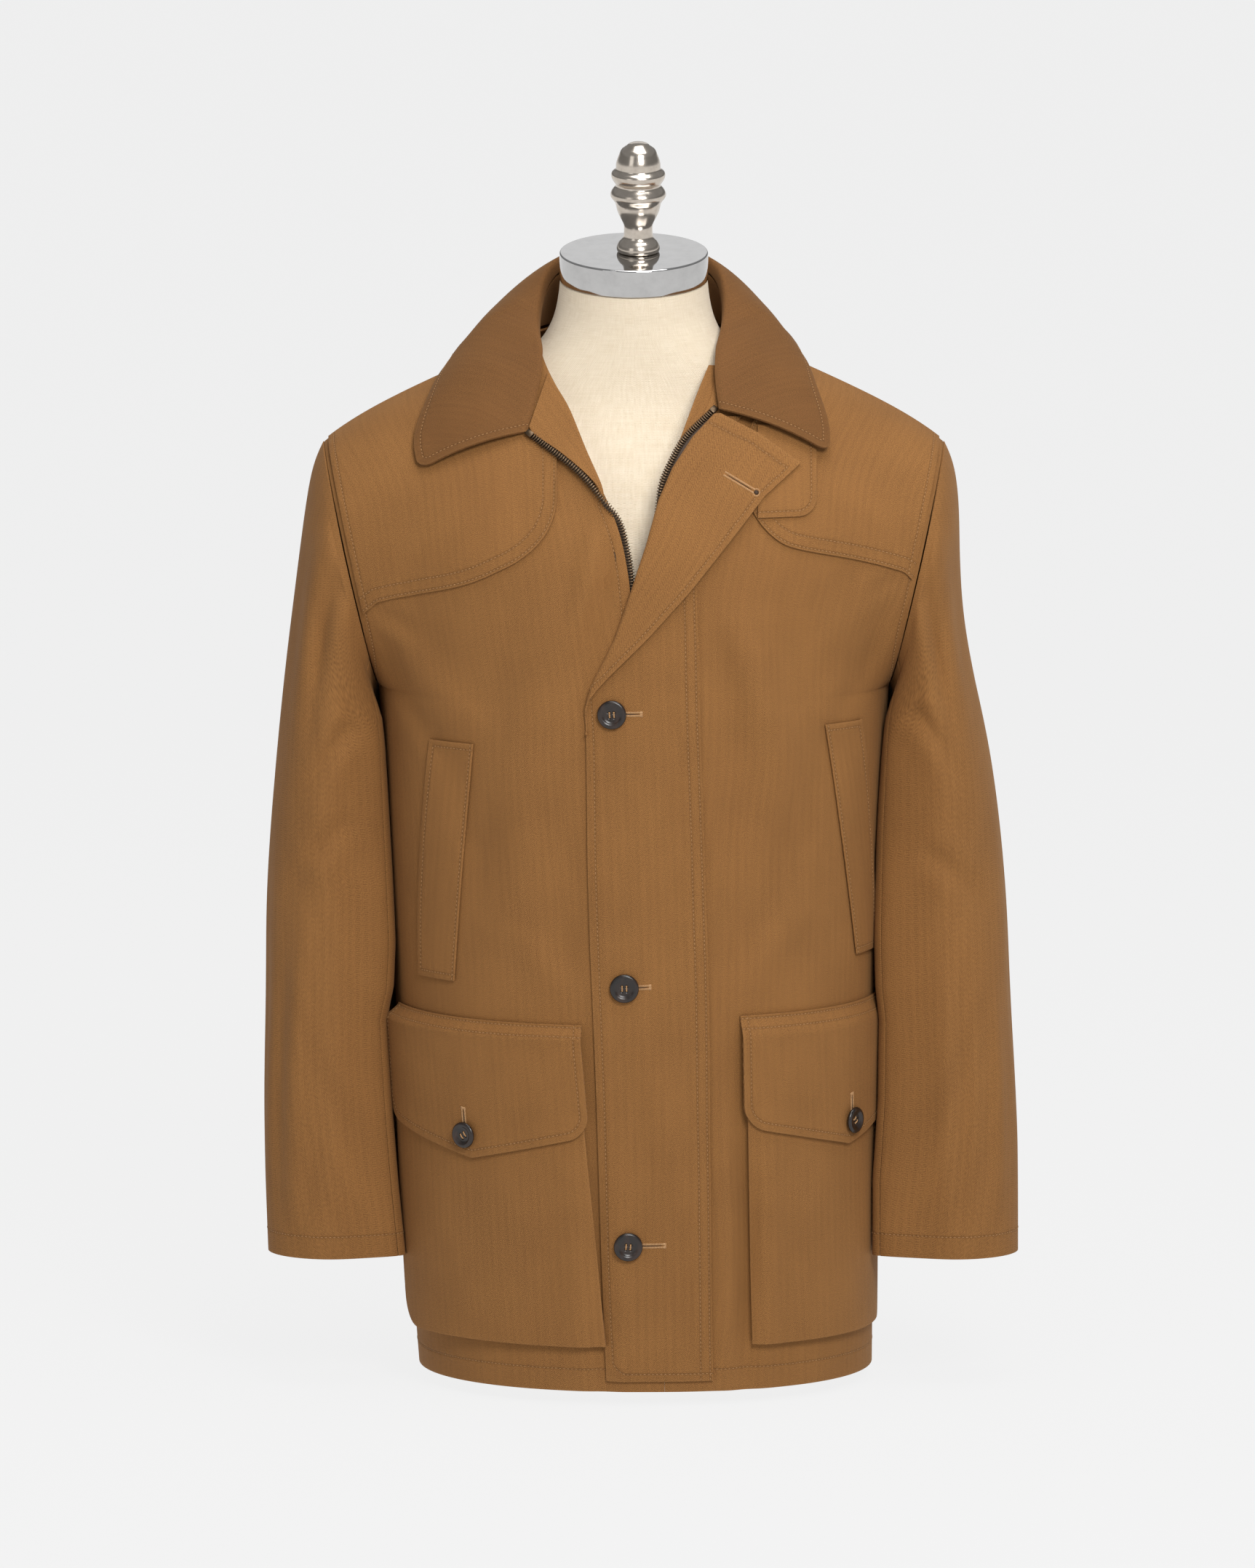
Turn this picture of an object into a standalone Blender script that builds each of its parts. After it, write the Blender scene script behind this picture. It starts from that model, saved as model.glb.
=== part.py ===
"""A field coat on a limbless dress form: every cut piece of the coat is a closed wall of cloth.

Metres, +Z up. The coat faces -Y, so +X is the wearer's left. The form stands on z = 0.
Torso panels lie on one surface, read by a level: below the arms the level is the height of a flat ring, and
above them it climbs the armhole from the underarm to the shoulder point. What is sewn on a panel is read from
the same surface and moved out along its normal.
"""

import functools
import math

import bmesh
import bpy
import numpy as np

MM = 0.001

# Walls of cloth and the clear space between them.
CLOTH = 1.6 * MM
SEAM = 0.35 * MM
PATCH_LIFT = 2.8 * MM
FLY_LIFT = 2.8 * MM
TAB_LIFT = 5.0 * MM

# Torso rings: level, half width, depth to the front, depth to the back.
RINGS = (
    (0.011, 0.1805, 0.150, 0.140),
    (0.100, 0.1840, 0.156, 0.146),
    (0.200, 0.1870, 0.160, 0.149),
    (0.300, 0.1905, 0.163, 0.152),
    (0.420, 0.1950, 0.165, 0.154),
    (0.500, 0.1985, 0.166, 0.155),
    (0.560, 0.2025, 0.166, 0.154),
)
# Chest and shoulder blades above the arms: level, front height, front depth, back height, back depth.
SHOULDERS = (
    (0.500, 0.500, 0.166, 0.500, 0.155),
    (0.560, 0.560, 0.166, 0.560, 0.154),
    (0.620, 0.632, 0.162, 0.640, 0.152),
    (0.680, 0.703, 0.149, 0.720, 0.143),
    (0.730, 0.764, 0.121, 0.790, 0.127),
    (0.780, 0.814, 0.080, 0.838, 0.098),
    (0.820, 0.854, 0.032, 0.864, 0.042),
    (0.840, 0.8725, 0.000, 0.8725, 0.000),
)
HEM = 0.011
UNDERARM = 0.560
RIDGE = 0.840
ROUNDNESS = 2.2
SHOULDER_POINT = (0.245, 0.750)
UNDERARM_POINT = (0.2025, 0.560)
ARMHOLE_DEPTH = 0.085
TIP_DROP = 0.0115
SKIRT_SWAY = 0.0098
SWAY_TOP = 0.42

# Soft hollows and folds of the torso: x, height, depth in, reach across, reach up, lean of the fold.
TORSO_FOLDS = (
    (-0.178, 0.650, -0.0045, 0.028, 0.055, 0.10),
    (0.178, 0.645, -0.0045, 0.028, 0.055, -0.10),
    (-0.075, 0.500, 0.0030, 0.018, 0.075, 0.35),
    (0.105, 0.560, 0.0030, 0.016, 0.070, -0.30),
    (-0.120, 0.440, -0.0025, 0.018, 0.070, 0.25),
)

# Front edges in the open neck: height, right front, left front, both measured from the middle.
NECK_EDGE = (
    (0.6612, -0.0040, 0.0040),
    (0.6950, -0.0110, 0.0142),
    (0.7265, -0.0237, 0.0238),
    (0.7570, -0.0390, 0.0372),
    (0.7900, -0.0530, 0.0580),
    (0.8170, -0.0690, 0.0680),
    (0.8386, -0.0780, 0.0780),
)
# The closed zip under the fly: height, place from the middle.
ZIP_LINE = (
    (0.011, 0.0245),
    (0.200, 0.0235),
    (0.330, 0.0215),
    (0.450, 0.0170),
    (0.555, 0.0110),
    (0.620, 0.0040),
    (0.6612, 0.0000),
)
ZIP_HALF_GAP = 4.0 * MM
ZIP_RADIUS = 1.6 * MM
ZIP_FOOT = 0.060
NECK_POINT = 0.078
NECK_LEVEL_BACK = 0.793

# Facings that show in the neck: height and x at the neck side, then at the zip side.
FACING_RIGHT = (
    (0.0, 0.8110, -0.0665, 0.7710, -0.0810),
    (0.2, 0.7990, -0.0585, 0.7670, -0.0785),
    (0.4, 0.7870, -0.0505, 0.7640, -0.0740),
    (0.6, 0.7700, -0.0425, 0.7560, -0.0600),
    (0.8, 0.7520, -0.0345, 0.7455, -0.0450),
    (1.0, 0.7310, -0.0255, 0.7320, -0.0300),
)
FACING_LEFT = (
    (0.00, 0.8150, 0.0590, 0.8150, 0.0655),
    (0.33, 0.7970, 0.0490, 0.7970, 0.0590),
    (0.67, 0.7720, 0.0386, 0.7720, 0.0455),
    (1.00, 0.7520, 0.0300, 0.7520, 0.0330),
)
# Lift of each facing at the neck side and at the zip side: the right one is turned back over its front.
FACING_RIGHT_LIFT = (3.6 * MM, 5.8 * MM)
FACING_LEFT_LIFT = (0.0, 0.0)
TRIM_WALL = 1.4 * MM
# The open halves of the zip: height, x and lift.
ZIP_RIGHT_TOP = (
    (0.7660, -0.0805, 5.8 * MM),
    (0.7550, -0.0635, 5.8 * MM),
    (0.7440, -0.0475, 5.8 * MM),
    (0.7320, -0.0345, 5.8 * MM),
    (0.7200, -0.0240, 4.6 * MM),
)
ZIP_LEFT_TOP = (
    (0.7850, 0.0620, 2.8 * MM),
    (0.7760, 0.0506, 2.8 * MM),
    (0.7630, 0.0373, 2.8 * MM),
    (0.7480, 0.0285, 2.8 * MM),
    (0.7320, 0.0215, 0.4 * MM),
)

# Storm fly: height, sewn edge, free edge or fold, width that is turned back.
STORM_FLY = (
    (0.0200, 0.0625, -0.0206, 0.0000),
    (0.1500, 0.0610, -0.0255, 0.0000),
    (0.3200, 0.0587, -0.0320, 0.0000),
    (0.4500, 0.0550, -0.0360, 0.0000),
    (0.5350, 0.0520, -0.0370, 0.0000),
    (0.5650, 0.0510, -0.0350, 0.0040),
    (0.5850, 0.0505, -0.0265, 0.0150),
    (0.6100, 0.0500, -0.0140, 0.0280),
    (0.6500, 0.0490, 0.0000, 0.0500),
    (0.6850, 0.0500, 0.0120, 0.0670),
    (0.7200, 0.0560, 0.0220, 0.0860),
    (0.7430, 0.0620, 0.0325, 0.1040),
    (0.7650, 0.0720, 0.0480, 0.0560),
    (0.7800, 0.0840, 0.0640, 0.0100),
)
FLY_ROLL = 2.4 * MM
# Shares of the fly's lines across that lie flat, and up to the end of the roll, where it is turned back.
FLY_FLAT_LINES = 0.30
FLY_ROLL_LINES = 0.58
FLY_TURN_FROM = 0.520
FLY_TURN_FULL = 0.590

# Shoulder patches: x from the middle, height of the lower edge on the right, then on the left.
PATCH_EDGE = (
    (0.060, 0.6780, 0.7040),
    (0.090, 0.6720, 0.6940),
    (0.130, 0.6540, 0.6800),
    (0.180, 0.6380, 0.6670),
    (0.235, 0.6210, 0.6480),
)
PATCH_INNER_RIGHT = 0.060
PATCH_INNER_LEFT = 0.084
PATCH_CORNER = 0.045
PATCH_ARMHOLE_CLEAR = 4.0 * MM

# Throat tab under the left collar point.
TAB_X = (0.096, 0.142)
TAB_Z = (0.705, 0.772)
TAB_CORNER = 0.014

# Hand-warmer welts: height of the ends and x of the inner edge there, right and left.
WELT_RIGHT = ((0.3355, -0.1400), (0.5270, -0.1250))
WELT_LEFT = ((0.3510, 0.1740), (0.5400, 0.1490))
WELT_WIDTH = 0.044
WELT_BOW = 0.004

# Bellows pockets and their flaps, by the way round from the middle of the front.
POCKET_TOP = 0.292
POCKET_FOOT = 0.048
POCKET_WIDTH = 0.186
POCKET_WALL = 2.8 * MM
POCKET_LIFT = 6.0 * MM
POCKET_LIFT_SIDE = {-1: 10.0 * MM, 1: 3.4 * MM}
POCKET_CORNER = 0.024
POCKET_RIGHT = (-0.0445, -0.0215)
POCKET_LEFT = (0.0870, 0.0920)
GUSSET_INSET = 6.0 * MM
FLAP_TOP = (0.307, 0.313)
FLAP_SIDE_DROP = 0.088
FLAP_POINT_DROP = 0.111
FLAP_WALL = 2.0 * MM
FLAP_OVER = 4.0 * MM
FLAP_CORNER = 0.016

# Sleeves: station, outer x and z, inner x and z, half depth, y of the middle.
SLEEVE = (
    (0.0, 0.2450, 0.7500, 0.2035, 0.5590, 0.0850, 0.000),
    (1.0, 0.2535, 0.7280, 0.2052, 0.5520, 0.0870, 0.000),
    (2.0, 0.2605, 0.6880, 0.2070, 0.5440, 0.0870, 0.000),
    (3.0, 0.2680, 0.6300, 0.2075, 0.5320, 0.0845, 0.000),
    (4.0, 0.2770, 0.5550, 0.2060, 0.5100, 0.0800, -0.002),
    (5.0, 0.2865, 0.4550, 0.2020, 0.4450, 0.0740, -0.006),
    (6.0, 0.2920, 0.3550, 0.1985, 0.3550, 0.0680, -0.014),
    (7.0, 0.2935, 0.2300, 0.1955, 0.2300, 0.0590, -0.024),
    (8.0, 0.2900, 0.1050, 0.1910, 0.1050, 0.0480, -0.031),
)
SLEEVE_SEAM = math.radians(138)
SLEEVE_CLEAR = 1.0 * MM
SLEEVE_SWING = 0.015
SWING_TOP = 0.56
# The left sleeve hangs closer below its shoulder: how much, at what height, over what reach.
SLEEVE_CLOSE = (0.0095, 0.610, 0.085)
# Folds of the sleeves: station, angle from the outside to the front, depth, reach in stations and in angle.
SLEEVE_FOLDS = (
    (3.3, 1.35, -0.0050, 0.9, 0.30),
    (2.6, 0.75, 0.0035, 1.0, 0.28),
    (5.6, 1.10, -0.0040, 0.6, 0.55),
    (6.4, 0.30, -0.0030, 0.5, 0.60),
    (5.2, -1.20, -0.0040, 0.7, 0.50),
    (7.1, 1.60, 0.0025, 0.7, 0.45),
)

# Collar: station from the middle of the back, roll x, y, z, outer edge x and z, lift of the edge, fullness.
COLLAR_RIGHT = (
    (0.0, 0.000, 0.086, 0.898, 0.000, 0.812, 0.0075, 0.012),
    (1.0, 0.050, 0.066, 0.894, 0.070, 0.806, 0.0075, 0.014),
    (2.0, 0.072, 0.032, 0.880, 0.118, 0.807, 0.0075, 0.013),
    (3.0, 0.078, 0.000, 0.858, 0.144, 0.806, 0.0070, 0.010),
    (4.0, 0.0775, -0.032, 0.8400, 0.158, 0.7880, 0.0070, 0.008),
    (5.0, 0.0760, -0.068, 0.8150, 0.170, 0.7600, 0.0070, 0.007),
    (6.0, 0.0870, -0.108, 0.7710, 0.166, 0.7360, 0.0070, 0.005),
)
COLLAR_LEFT = (
    (0.0, 0.000, 0.086, 0.898, 0.000, 0.812, 0.0075, 0.012),
    (1.0, 0.050, 0.066, 0.894, 0.068, 0.806, 0.0075, 0.014),
    (2.0, 0.071, 0.032, 0.880, 0.108, 0.810, 0.0080, 0.012),
    (3.0, 0.074, 0.000, 0.858, 0.128, 0.813, 0.0090, 0.009),
    (4.0, 0.0710, -0.032, 0.8410, 0.140, 0.7920, 0.0105, 0.008),
    (5.0, 0.0670, -0.068, 0.8180, 0.149, 0.7680, 0.0115, 0.007),
    (6.0, 0.0700, -0.101, 0.7880, 0.150, 0.7470, 0.0115, 0.005),
)
COLLAR_WALL = 2.2 * MM
COLLAR_CORNER = 0.014
ROLL_IN = 3.2 * MM
ROLL_DEPTH = 9.0 * MM
STAND_FOOT = 3.6 * MM
STAND_END = 4.0

# Buttons: outside diameter, thickness, rim and dish.
FRONT_BUTTON = 0.023
FLAP_BUTTON = 0.021
BUTTON_THICK = 4.2 * MM
FRONT_BUTTONS = ((-0.0170, 0.555), (-0.0075, 0.3375), (-0.0050, 0.130))
BUTTON_CLEAR = 0.5 * MM

# Dress form: height, half width, depth to the front, depth to the back.
FORM = (
    (0.000, 0.126, 0.072, 0.084),
    (0.080, 0.148, 0.114, 0.110),
    (0.200, 0.154, 0.128, 0.120),
    (0.340, 0.148, 0.126, 0.116),
    (0.480, 0.164, 0.138, 0.126),
    (0.580, 0.178, 0.145, 0.132),
    (0.660, 0.184, 0.134, 0.128),
    (0.715, 0.182, 0.112, 0.114),
    (0.755, 0.166, 0.086, 0.094),
    (0.785, 0.138, 0.067, 0.078),
    (0.808, 0.104, 0.060, 0.068),
    (0.828, 0.078, 0.058, 0.063),
    (0.850, 0.064, 0.0575, 0.060),
    (0.880, 0.0585, 0.0575, 0.0575),
)
FORM_ROUND = 2.2
NECK_ROUND_FROM = 0.80
CAP_TILT = math.radians(9)
TILT_FROM = 0.84
CAP_DIAMETER = 0.118
CAP_HEIGHT = 0.0225
CAP_FOOT = 0.8805
FINIAL_ASIDE = 3.5 * MM
# Finial profile: height above its foot, radius.
FINIAL = (
    (0.0000, 0.0162),
    (0.0015, 0.0170),
    (0.0045, 0.0168),
    (0.0080, 0.0150),
    (0.0140, 0.0115),
    (0.0225, 0.0117),
    (0.0300, 0.0153),
    (0.0395, 0.0181),
    (0.0440, 0.0212),
    (0.0465, 0.0221),
    (0.0495, 0.0212),
    (0.0543, 0.0178),
    (0.0600, 0.0209),
    (0.0625, 0.0215),
    (0.0652, 0.0205),
    (0.0670, 0.0184),
    (0.0750, 0.0168),
    (0.0845, 0.0119),
    (0.0875, 0.0081),
    (0.0895, 0.0000),
)

# Colour as linear red, green, blue, then roughness and metallic.
FINISHES = {
    "cotton": ((0.275, 0.136, 0.053), 0.85, 0.0),
    "collar cotton": ((0.240, 0.118, 0.046), 0.85, 0.0),
    "zip brass": ((0.110, 0.075, 0.040), 0.45, 0.9),
    "horn": ((0.030, 0.019, 0.013), 0.35, 0.0),
    "linen": ((0.620, 0.545, 0.420), 0.90, 0.0),
    "nickel": ((0.720, 0.700, 0.660), 0.15, 1.0),
}


class Spline:
    """A natural cubic spline through the rows of a table, read by the table's first column."""

    def __init__(self, rows):
        table = np.array(rows, float)
        self.knots = table[:, 0]
        self.values = table[:, 1:]
        gaps = np.diff(self.knots)
        count = len(table)
        matrix = np.eye(count)
        bends = np.zeros_like(self.values)
        slopes = np.diff(self.values, axis=0) / gaps[:, None]
        for i in range(1, count - 1):
            matrix[i, i - 1 : i + 2] = gaps[i - 1], 2 * (gaps[i - 1] + gaps[i]), gaps[i]
            bends[i] = 6 * (slopes[i] - slopes[i - 1])
        self.bends = np.linalg.solve(matrix, bends)

    def __call__(self, at):
        at = min(max(at, self.knots[0]), self.knots[-1])
        i = min(max(int(np.searchsorted(self.knots, at)) - 1, 0), len(self.knots) - 2)
        gap = self.knots[i + 1] - self.knots[i]
        low = (self.knots[i + 1] - at) / gap
        high = 1 - low
        bend = (low**3 - low) * self.bends[i] + (high**3 - high) * self.bends[i + 1]
        return low * self.values[i] + high * self.values[i + 1] + bend * gap**2 / 6


def straight(rows, at):
    """The columns of a table read by straight lines between its rows."""
    table = np.array(rows, float)
    return np.array([np.interp(at, table[:, 0], column) for column in table[:, 1:].T])


def smooth_step(share):
    share = min(max(share, 0.0), 1.0)
    return share * share * (3 - 2 * share)


def corner_cut(distance, radius):
    """How far a round corner draws an edge back, at a distance from the neighbouring edge."""
    if distance >= radius:
        return 0.0
    return radius - math.sqrt(max(radius**2 - (radius - distance) ** 2, 0.0))


def even(count):
    return [i / count for i in range(count + 1)]


def dense_ends(count, start=True, end=True):
    """Shares from 0 to 1 with lines closer together at the chosen ends, where corners are round."""
    shares = even(count)
    if start and end:
        return [(1 - math.cos(math.pi * share)) / 2 for share in shares]
    if start:
        return [1 - math.cos(math.pi / 2 * share) for share in shares]
    return [math.sin(math.pi / 2 * share) for share in shares]


# The torso surface.
half_width_at = Spline([(row[0], row[1]) for row in RINGS])
ring_depth_at = Spline([(row[0], row[2], row[3]) for row in RINGS])
shoulder_at = Spline(SHOULDERS)
zip_line_at = Spline(ZIP_LINE)
neck_edge_at = Spline(NECK_EDGE)


def sway(z):
    """The skirt hangs a little to the wearer's left."""
    return SKIRT_SWAY * max(0.0, 1 - z / SWAY_TOP) ** 1.5


def armhole(share, face):
    """A point of the armhole, from the underarm at 0 to the shoulder point at 1, in front (-1) or behind (1)."""
    angle = math.pi * (1 - share)
    top = np.array([SHOULDER_POINT[0], 0.0, SHOULDER_POINT[1]])
    foot = np.array([UNDERARM_POINT[0], 0.0, UNDERARM_POINT[1]])
    middle = (top + foot) / 2 + (top - foot) / 2 * math.cos(angle)
    return middle + np.array([0.0, face * ARMHOLE_DEPTH * math.sin(angle), 0.0])


def torso_row(level, face):
    """Centre y and z, then the outer point, of the row at a level."""
    if level <= UNDERARM:
        depth = ring_depth_at(level)[0 if face < 0 else 1]
        return face * depth, level, np.array([half_width_at(level)[0], 0.0, level])
    front_z, front, back_z, back = shoulder_at(level)
    outer = armhole((level - UNDERARM) / (RIDGE - UNDERARM), face)
    if face < 0:
        return -front, front_z, outer
    return back, back_z, outer


def fold_depth(x, z):
    """How far the folds move the front out at a place."""
    total = 0.0
    for fold_x, fold_z, depth, across, up, lean in TORSO_FOLDS:
        rise = z - fold_z
        side = x - fold_x - lean * rise
        total += depth * math.exp(-((side / across) ** 2) - (rise / up) ** 2)
    return total


def torso(x, level, face):
    """A point of the torso surface at x from its own middle, in front (-1) or behind (1)."""
    centre_y, centre_z, outer = torso_row(level, face)
    reach = min(abs(x) / outer[0], 1.0)
    ring = 1 - (1 - reach**ROUNDNESS) ** (1 / ROUNDNESS)
    blade = smooth_step((level - UNDERARM + 0.02) / 0.12)
    y = centre_y + (outer[1] - centre_y) * ((1 - blade) * ring + blade * reach**2.4)
    share = min(max((level - UNDERARM) / (RIDGE - UNDERARM), 0.0), 1.0)
    drop = TIP_DROP * share**2
    z = centre_z + (outer[2] + drop - centre_z) * reach ** (2 - share) - drop * reach**8
    if face < 0:
        y -= fold_depth(x, z) * (1 - reach**6)
    return np.array([x + sway(z), y, z])


def level_at(x, z, face):
    """The level whose row passes the height z at x."""
    if z <= UNDERARM:
        return z
    low, high = UNDERARM, RIDGE
    for _ in range(30):
        middle = (low + high) / 2
        if torso(x, middle, face)[2] < z:
            low = middle
        else:
            high = middle
    return low


def lifted(x, level, face, lift):
    """A point of the torso surface moved out along its normal."""
    step = 0.0015
    across = torso(x + step, level, face) - torso(x - step, level, face)
    high = min(level + step, RIDGE)
    low = max(level - step, HEM)
    up = torso(x, high, face) - torso(x, low, face)
    normal = np.cross(across, up) * -face
    return torso(x, level, face) + lift * normal / np.linalg.norm(normal)


def on_front(x, z, lift):
    """A point in front of the coat, placed as the front view shows it and moved out."""
    x -= sway(z)
    return lifted(x, level_at(x, z, -1), -1, lift)


@functools.lru_cache(maxsize=None)
def ring_points(z):
    """The ring at a height as points from the middle of the back round the front, with the way along it."""
    half_width = half_width_at(z)[0]
    front, back = ring_depth_at(z)
    angles = np.linspace(-math.pi, math.pi, 721)
    sines, cosines = np.sin(angles), np.cos(angles)
    x = half_width * np.sign(sines) * np.abs(sines) ** (2 / ROUNDNESS)
    depth = np.where(cosines > 0, front, back)
    y = -np.sign(cosines) * depth * np.abs(cosines) ** (2 / ROUNDNESS)
    way = np.concatenate([[0.0], np.cumsum(np.hypot(np.diff(x), np.diff(y)))])
    return x, y, way - way[360]


def way_at(x, z):
    """The way round the ring, from the middle of the front, to where the front view shows x."""
    xs, _, way = ring_points(round(z, 4))
    return float(np.interp(x - sway(z), xs[180:541], way[180:541]))


def around(way, z, lift):
    """A point of the coat a way round from the middle of the front, moved out."""
    xs, ys, ways = ring_points(round(z, 4))
    step = 0.002
    ahead = np.array([np.interp(way + step, ways, xs), np.interp(way + step, ways, ys)])
    behind = np.array([np.interp(way - step, ways, xs), np.interp(way - step, ways, ys)])
    along = (ahead - behind) / np.linalg.norm(ahead - behind)
    x = float(np.interp(way, ways, xs))
    y = float(np.interp(way, ways, ys))
    if y < 0:
        y -= fold_depth(x, z) * (1 - min(abs(x) / half_width_at(z)[0], 1.0) ** 6)
    return np.array([x + sway(z) + along[1] * lift, y - along[0] * lift, z])


# Objects and materials.
def finish(name):
    material = bpy.data.materials.get(name)
    if material is None:
        colour, roughness, metallic = FINISHES[name]
        material = bpy.data.materials.new(name)
        material.use_nodes = True
        shader = material.node_tree.nodes["Principled BSDF"]
        shader.inputs["Base Color"].default_value = (*colour, 1.0)
        shader.inputs["Roughness"].default_value = roughness
        shader.inputs["Metallic"].default_value = metallic
        material.diffuse_color = (*colour, 1.0)
    return material


def add(name, data, finish_name):
    """A named object in the part's collection."""
    part = bpy.data.objects.new(name, data)
    data.materials.append(finish(finish_name))
    bpy.data.collections["field_coat_on_dress_form"].objects.link(part)
    return part


def mapped_grid(name, across, along, place):
    """A grid with lines at the given shares, each crossing moved to place(u, v)."""
    shape = bmesh.new()
    columns, rows = len(across) - 1, len(along) - 1
    bmesh.ops.create_grid(shape, x_segments=columns, y_segments=rows, size=1)
    for vertex in shape.verts:
        column = round((vertex.co.x + 1) / 2 * columns)
        row = round((vertex.co.y + 1) / 2 * rows)
        vertex.co = place(across[column], along[row])
    mesh = bpy.data.meshes.new(name)
    shape.to_mesh(mesh)
    shape.free()
    mesh.shade_smooth()
    return mesh


def sheet(name, across, along, place, thickness=CLOTH, finish_name="cotton"):
    """A wall of cloth: a mapped grid thickened to both sides."""
    part = add(name, mapped_grid(name, across, along, place), finish_name)
    wall = part.modifiers.new("Wall", "SOLIDIFY")
    wall.thickness = thickness
    wall.offset = 0.0
    wall.use_quality_normals = True
    return part


def turned(name, profile, steps, finish_name):
    """A turned piece: a profile of radius and height, read from the top down, spun about Z."""
    shape = bmesh.new()
    points = [shape.verts.new((radius, 0.0, height)) for radius, height in profile]
    for start, end in zip(points, points[1:]):
        shape.edges.new((start, end))
    mesh = bpy.data.meshes.new(name)
    shape.to_mesh(mesh)
    shape.free()
    part = add(name, mesh, finish_name)
    spin = part.modifiers.new("Turned", "SCREW")
    spin.steps = steps
    spin.render_steps = steps
    spin.use_merge_vertices = True
    spin.merge_threshold = 0.00001
    return part


# Torso panels.
FRONT_LEVELS = (
    [HEM, 0.05, 0.10, 0.15, 0.20, 0.25, 0.30, 0.35, 0.40, 0.45, 0.50, 0.54]
    + [UNDERARM, 0.59, 0.62, 0.65, 0.675, 0.70, 0.725, 0.75, 0.775, 0.797, 0.815, 0.830, RIDGE]
)
FRONT_COLUMNS = 13
BACK_LEVEL_STEPS = 18
NECK_SHARES = (0.0, 0.40, 0.72, 0.93, 1.0)
BACK_SIDE_COLUMNS = 8


def front_edge(z, side):
    """x of the front's own edge: the zip below the open neck, then the turned edge up to the neck point."""
    if z < NECK_EDGE[0][0]:
        return zip_line_at(z)[0] + side * ZIP_HALF_GAP
    return neck_edge_at(z)[0 if side < 0 else 1]


def front_panel(name, side):
    """One front, from its edge to the side seam and armhole, side -1 for the wearer's right."""

    def place(u, level):
        outer = torso_row(level, -1)[2][0]
        x = front_edge(level, side)
        for _ in range(12):
            x = front_edge(torso(x, level, -1)[2], side)
        x -= sway(level) if level < SWAY_TOP else 0.0
        start = math.asin(math.copysign(abs(x / outer) ** (ROUNDNESS / 2), x * side))
        angle = start + (math.pi / 2 - start) * u
        reach = math.copysign(abs(math.sin(angle)) ** (2 / ROUNDNESS), math.sin(angle))
        point = torso(side * outer * reach, level, -1)
        point[1] -= SEAM
        return point

    return sheet(name, even(FRONT_COLUMNS), FRONT_LEVELS, place)


def back_panel():
    """The back in one piece, hollowed at the neck between the shoulder seams."""
    neck_reach = NECK_POINT / SHOULDER_POINT[0]
    half = [neck_reach * share for share in NECK_SHARES]
    start = math.asin(neck_reach ** (ROUNDNESS / 2))
    for i in range(1, BACK_SIDE_COLUMNS + 1):
        angle = start + (math.pi / 2 - start) * i / BACK_SIDE_COLUMNS
        half.append(math.sin(angle) ** (2 / ROUNDNESS))
    reaches = [-reach for reach in reversed(half[1:])] + half

    def place(reach, share):
        top = RIDGE
        inside = 1 - (reach / neck_reach) ** 2
        if inside > 0:
            top -= (RIDGE - NECK_LEVEL_BACK) * math.sqrt(inside)
        level = HEM + (top - HEM) * (1 - (1 - share) ** 1.35)
        point = torso(reach * torso_row(level, 1)[2][0], level, 1)
        point[1] += SEAM
        return point

    return sheet("back", reaches, even(BACK_LEVEL_STEPS), place)


# Sleeves.
sleeve_at = Spline(SLEEVE)
SLEEVE_STATIONS = (0.0, 0.45, 0.9, 1.4, 1.9, 2.5, 3.1, 3.7, 4.3, 4.9, 5.5, 6.1, 6.7, 7.3, 8.0)


def sleeve_point(station, angle, side):
    """A point of a sleeve; the angle runs from the outside at 0 to the front at a quarter turn."""
    outer_x, outer_z, inner_x, inner_z, depth, middle_y = sleeve_at(station)
    grow = 1.0
    for fold_station, fold_angle, fold, along, turn in SLEEVE_FOLDS:
        off = (angle - fold_angle) / turn
        grow += fold / depth * math.exp(-(((station - fold_station) / along) ** 2) - off * off)
    x = (outer_x + inner_x) / 2 + grow * math.cos(angle) * (outer_x - inner_x) / 2
    z = (outer_z + inner_z) / 2 + grow * math.cos(angle) * (outer_z - inner_z) / 2
    y = middle_y - grow * math.sin(angle) * depth
    x += SLEEVE_CLEAR
    if side > 0:
        close, height, reach = SLEEVE_CLOSE
        close *= smooth_step(station / 2.5) * (1 + math.cos(angle)) / 2
        x -= close * math.exp(-(((z - height) / reach) ** 2))
        x += SLEEVE_SWING * max(0.0, (SWING_TOP - z) / (SWING_TOP - SLEEVE[-1][2])) ** 1.2
    return np.array([side * x, y, z])


def sleeve_panels(name, side):
    """Upper and under sleeve, parted along the two seams."""
    gap = SEAM / SLEEVE[4][5]
    spans = {
        "upper": (-SLEEVE_SEAM + gap, SLEEVE_SEAM - gap, 14),
        "under": (SLEEVE_SEAM + gap, 2 * math.pi - SLEEVE_SEAM - gap, 5),
    }
    for part_name, (first, last, columns) in spans.items():

        def place(u, station, first=first, last=last):
            return sleeve_point(station, first + (last - first) * u, side)

        sheet(f"{name}_{part_name}", even(columns), SLEEVE_STATIONS, place)


# Collar.
collar_at = {-1: Spline(COLLAR_RIGHT), 1: Spline(COLLAR_LEFT)}
FALL_STATIONS = (0.0, 0.6, 1.2, 1.8, 2.4, 3.0, 3.6, 4.2, 4.8, 5.3, 5.65, 5.85, 5.95, 6.0)
FALL_SHARES = (0.0, 0.06, 0.16, 0.30, 0.46, 0.62, 0.78, 0.90, 0.97, 1.0)


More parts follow.
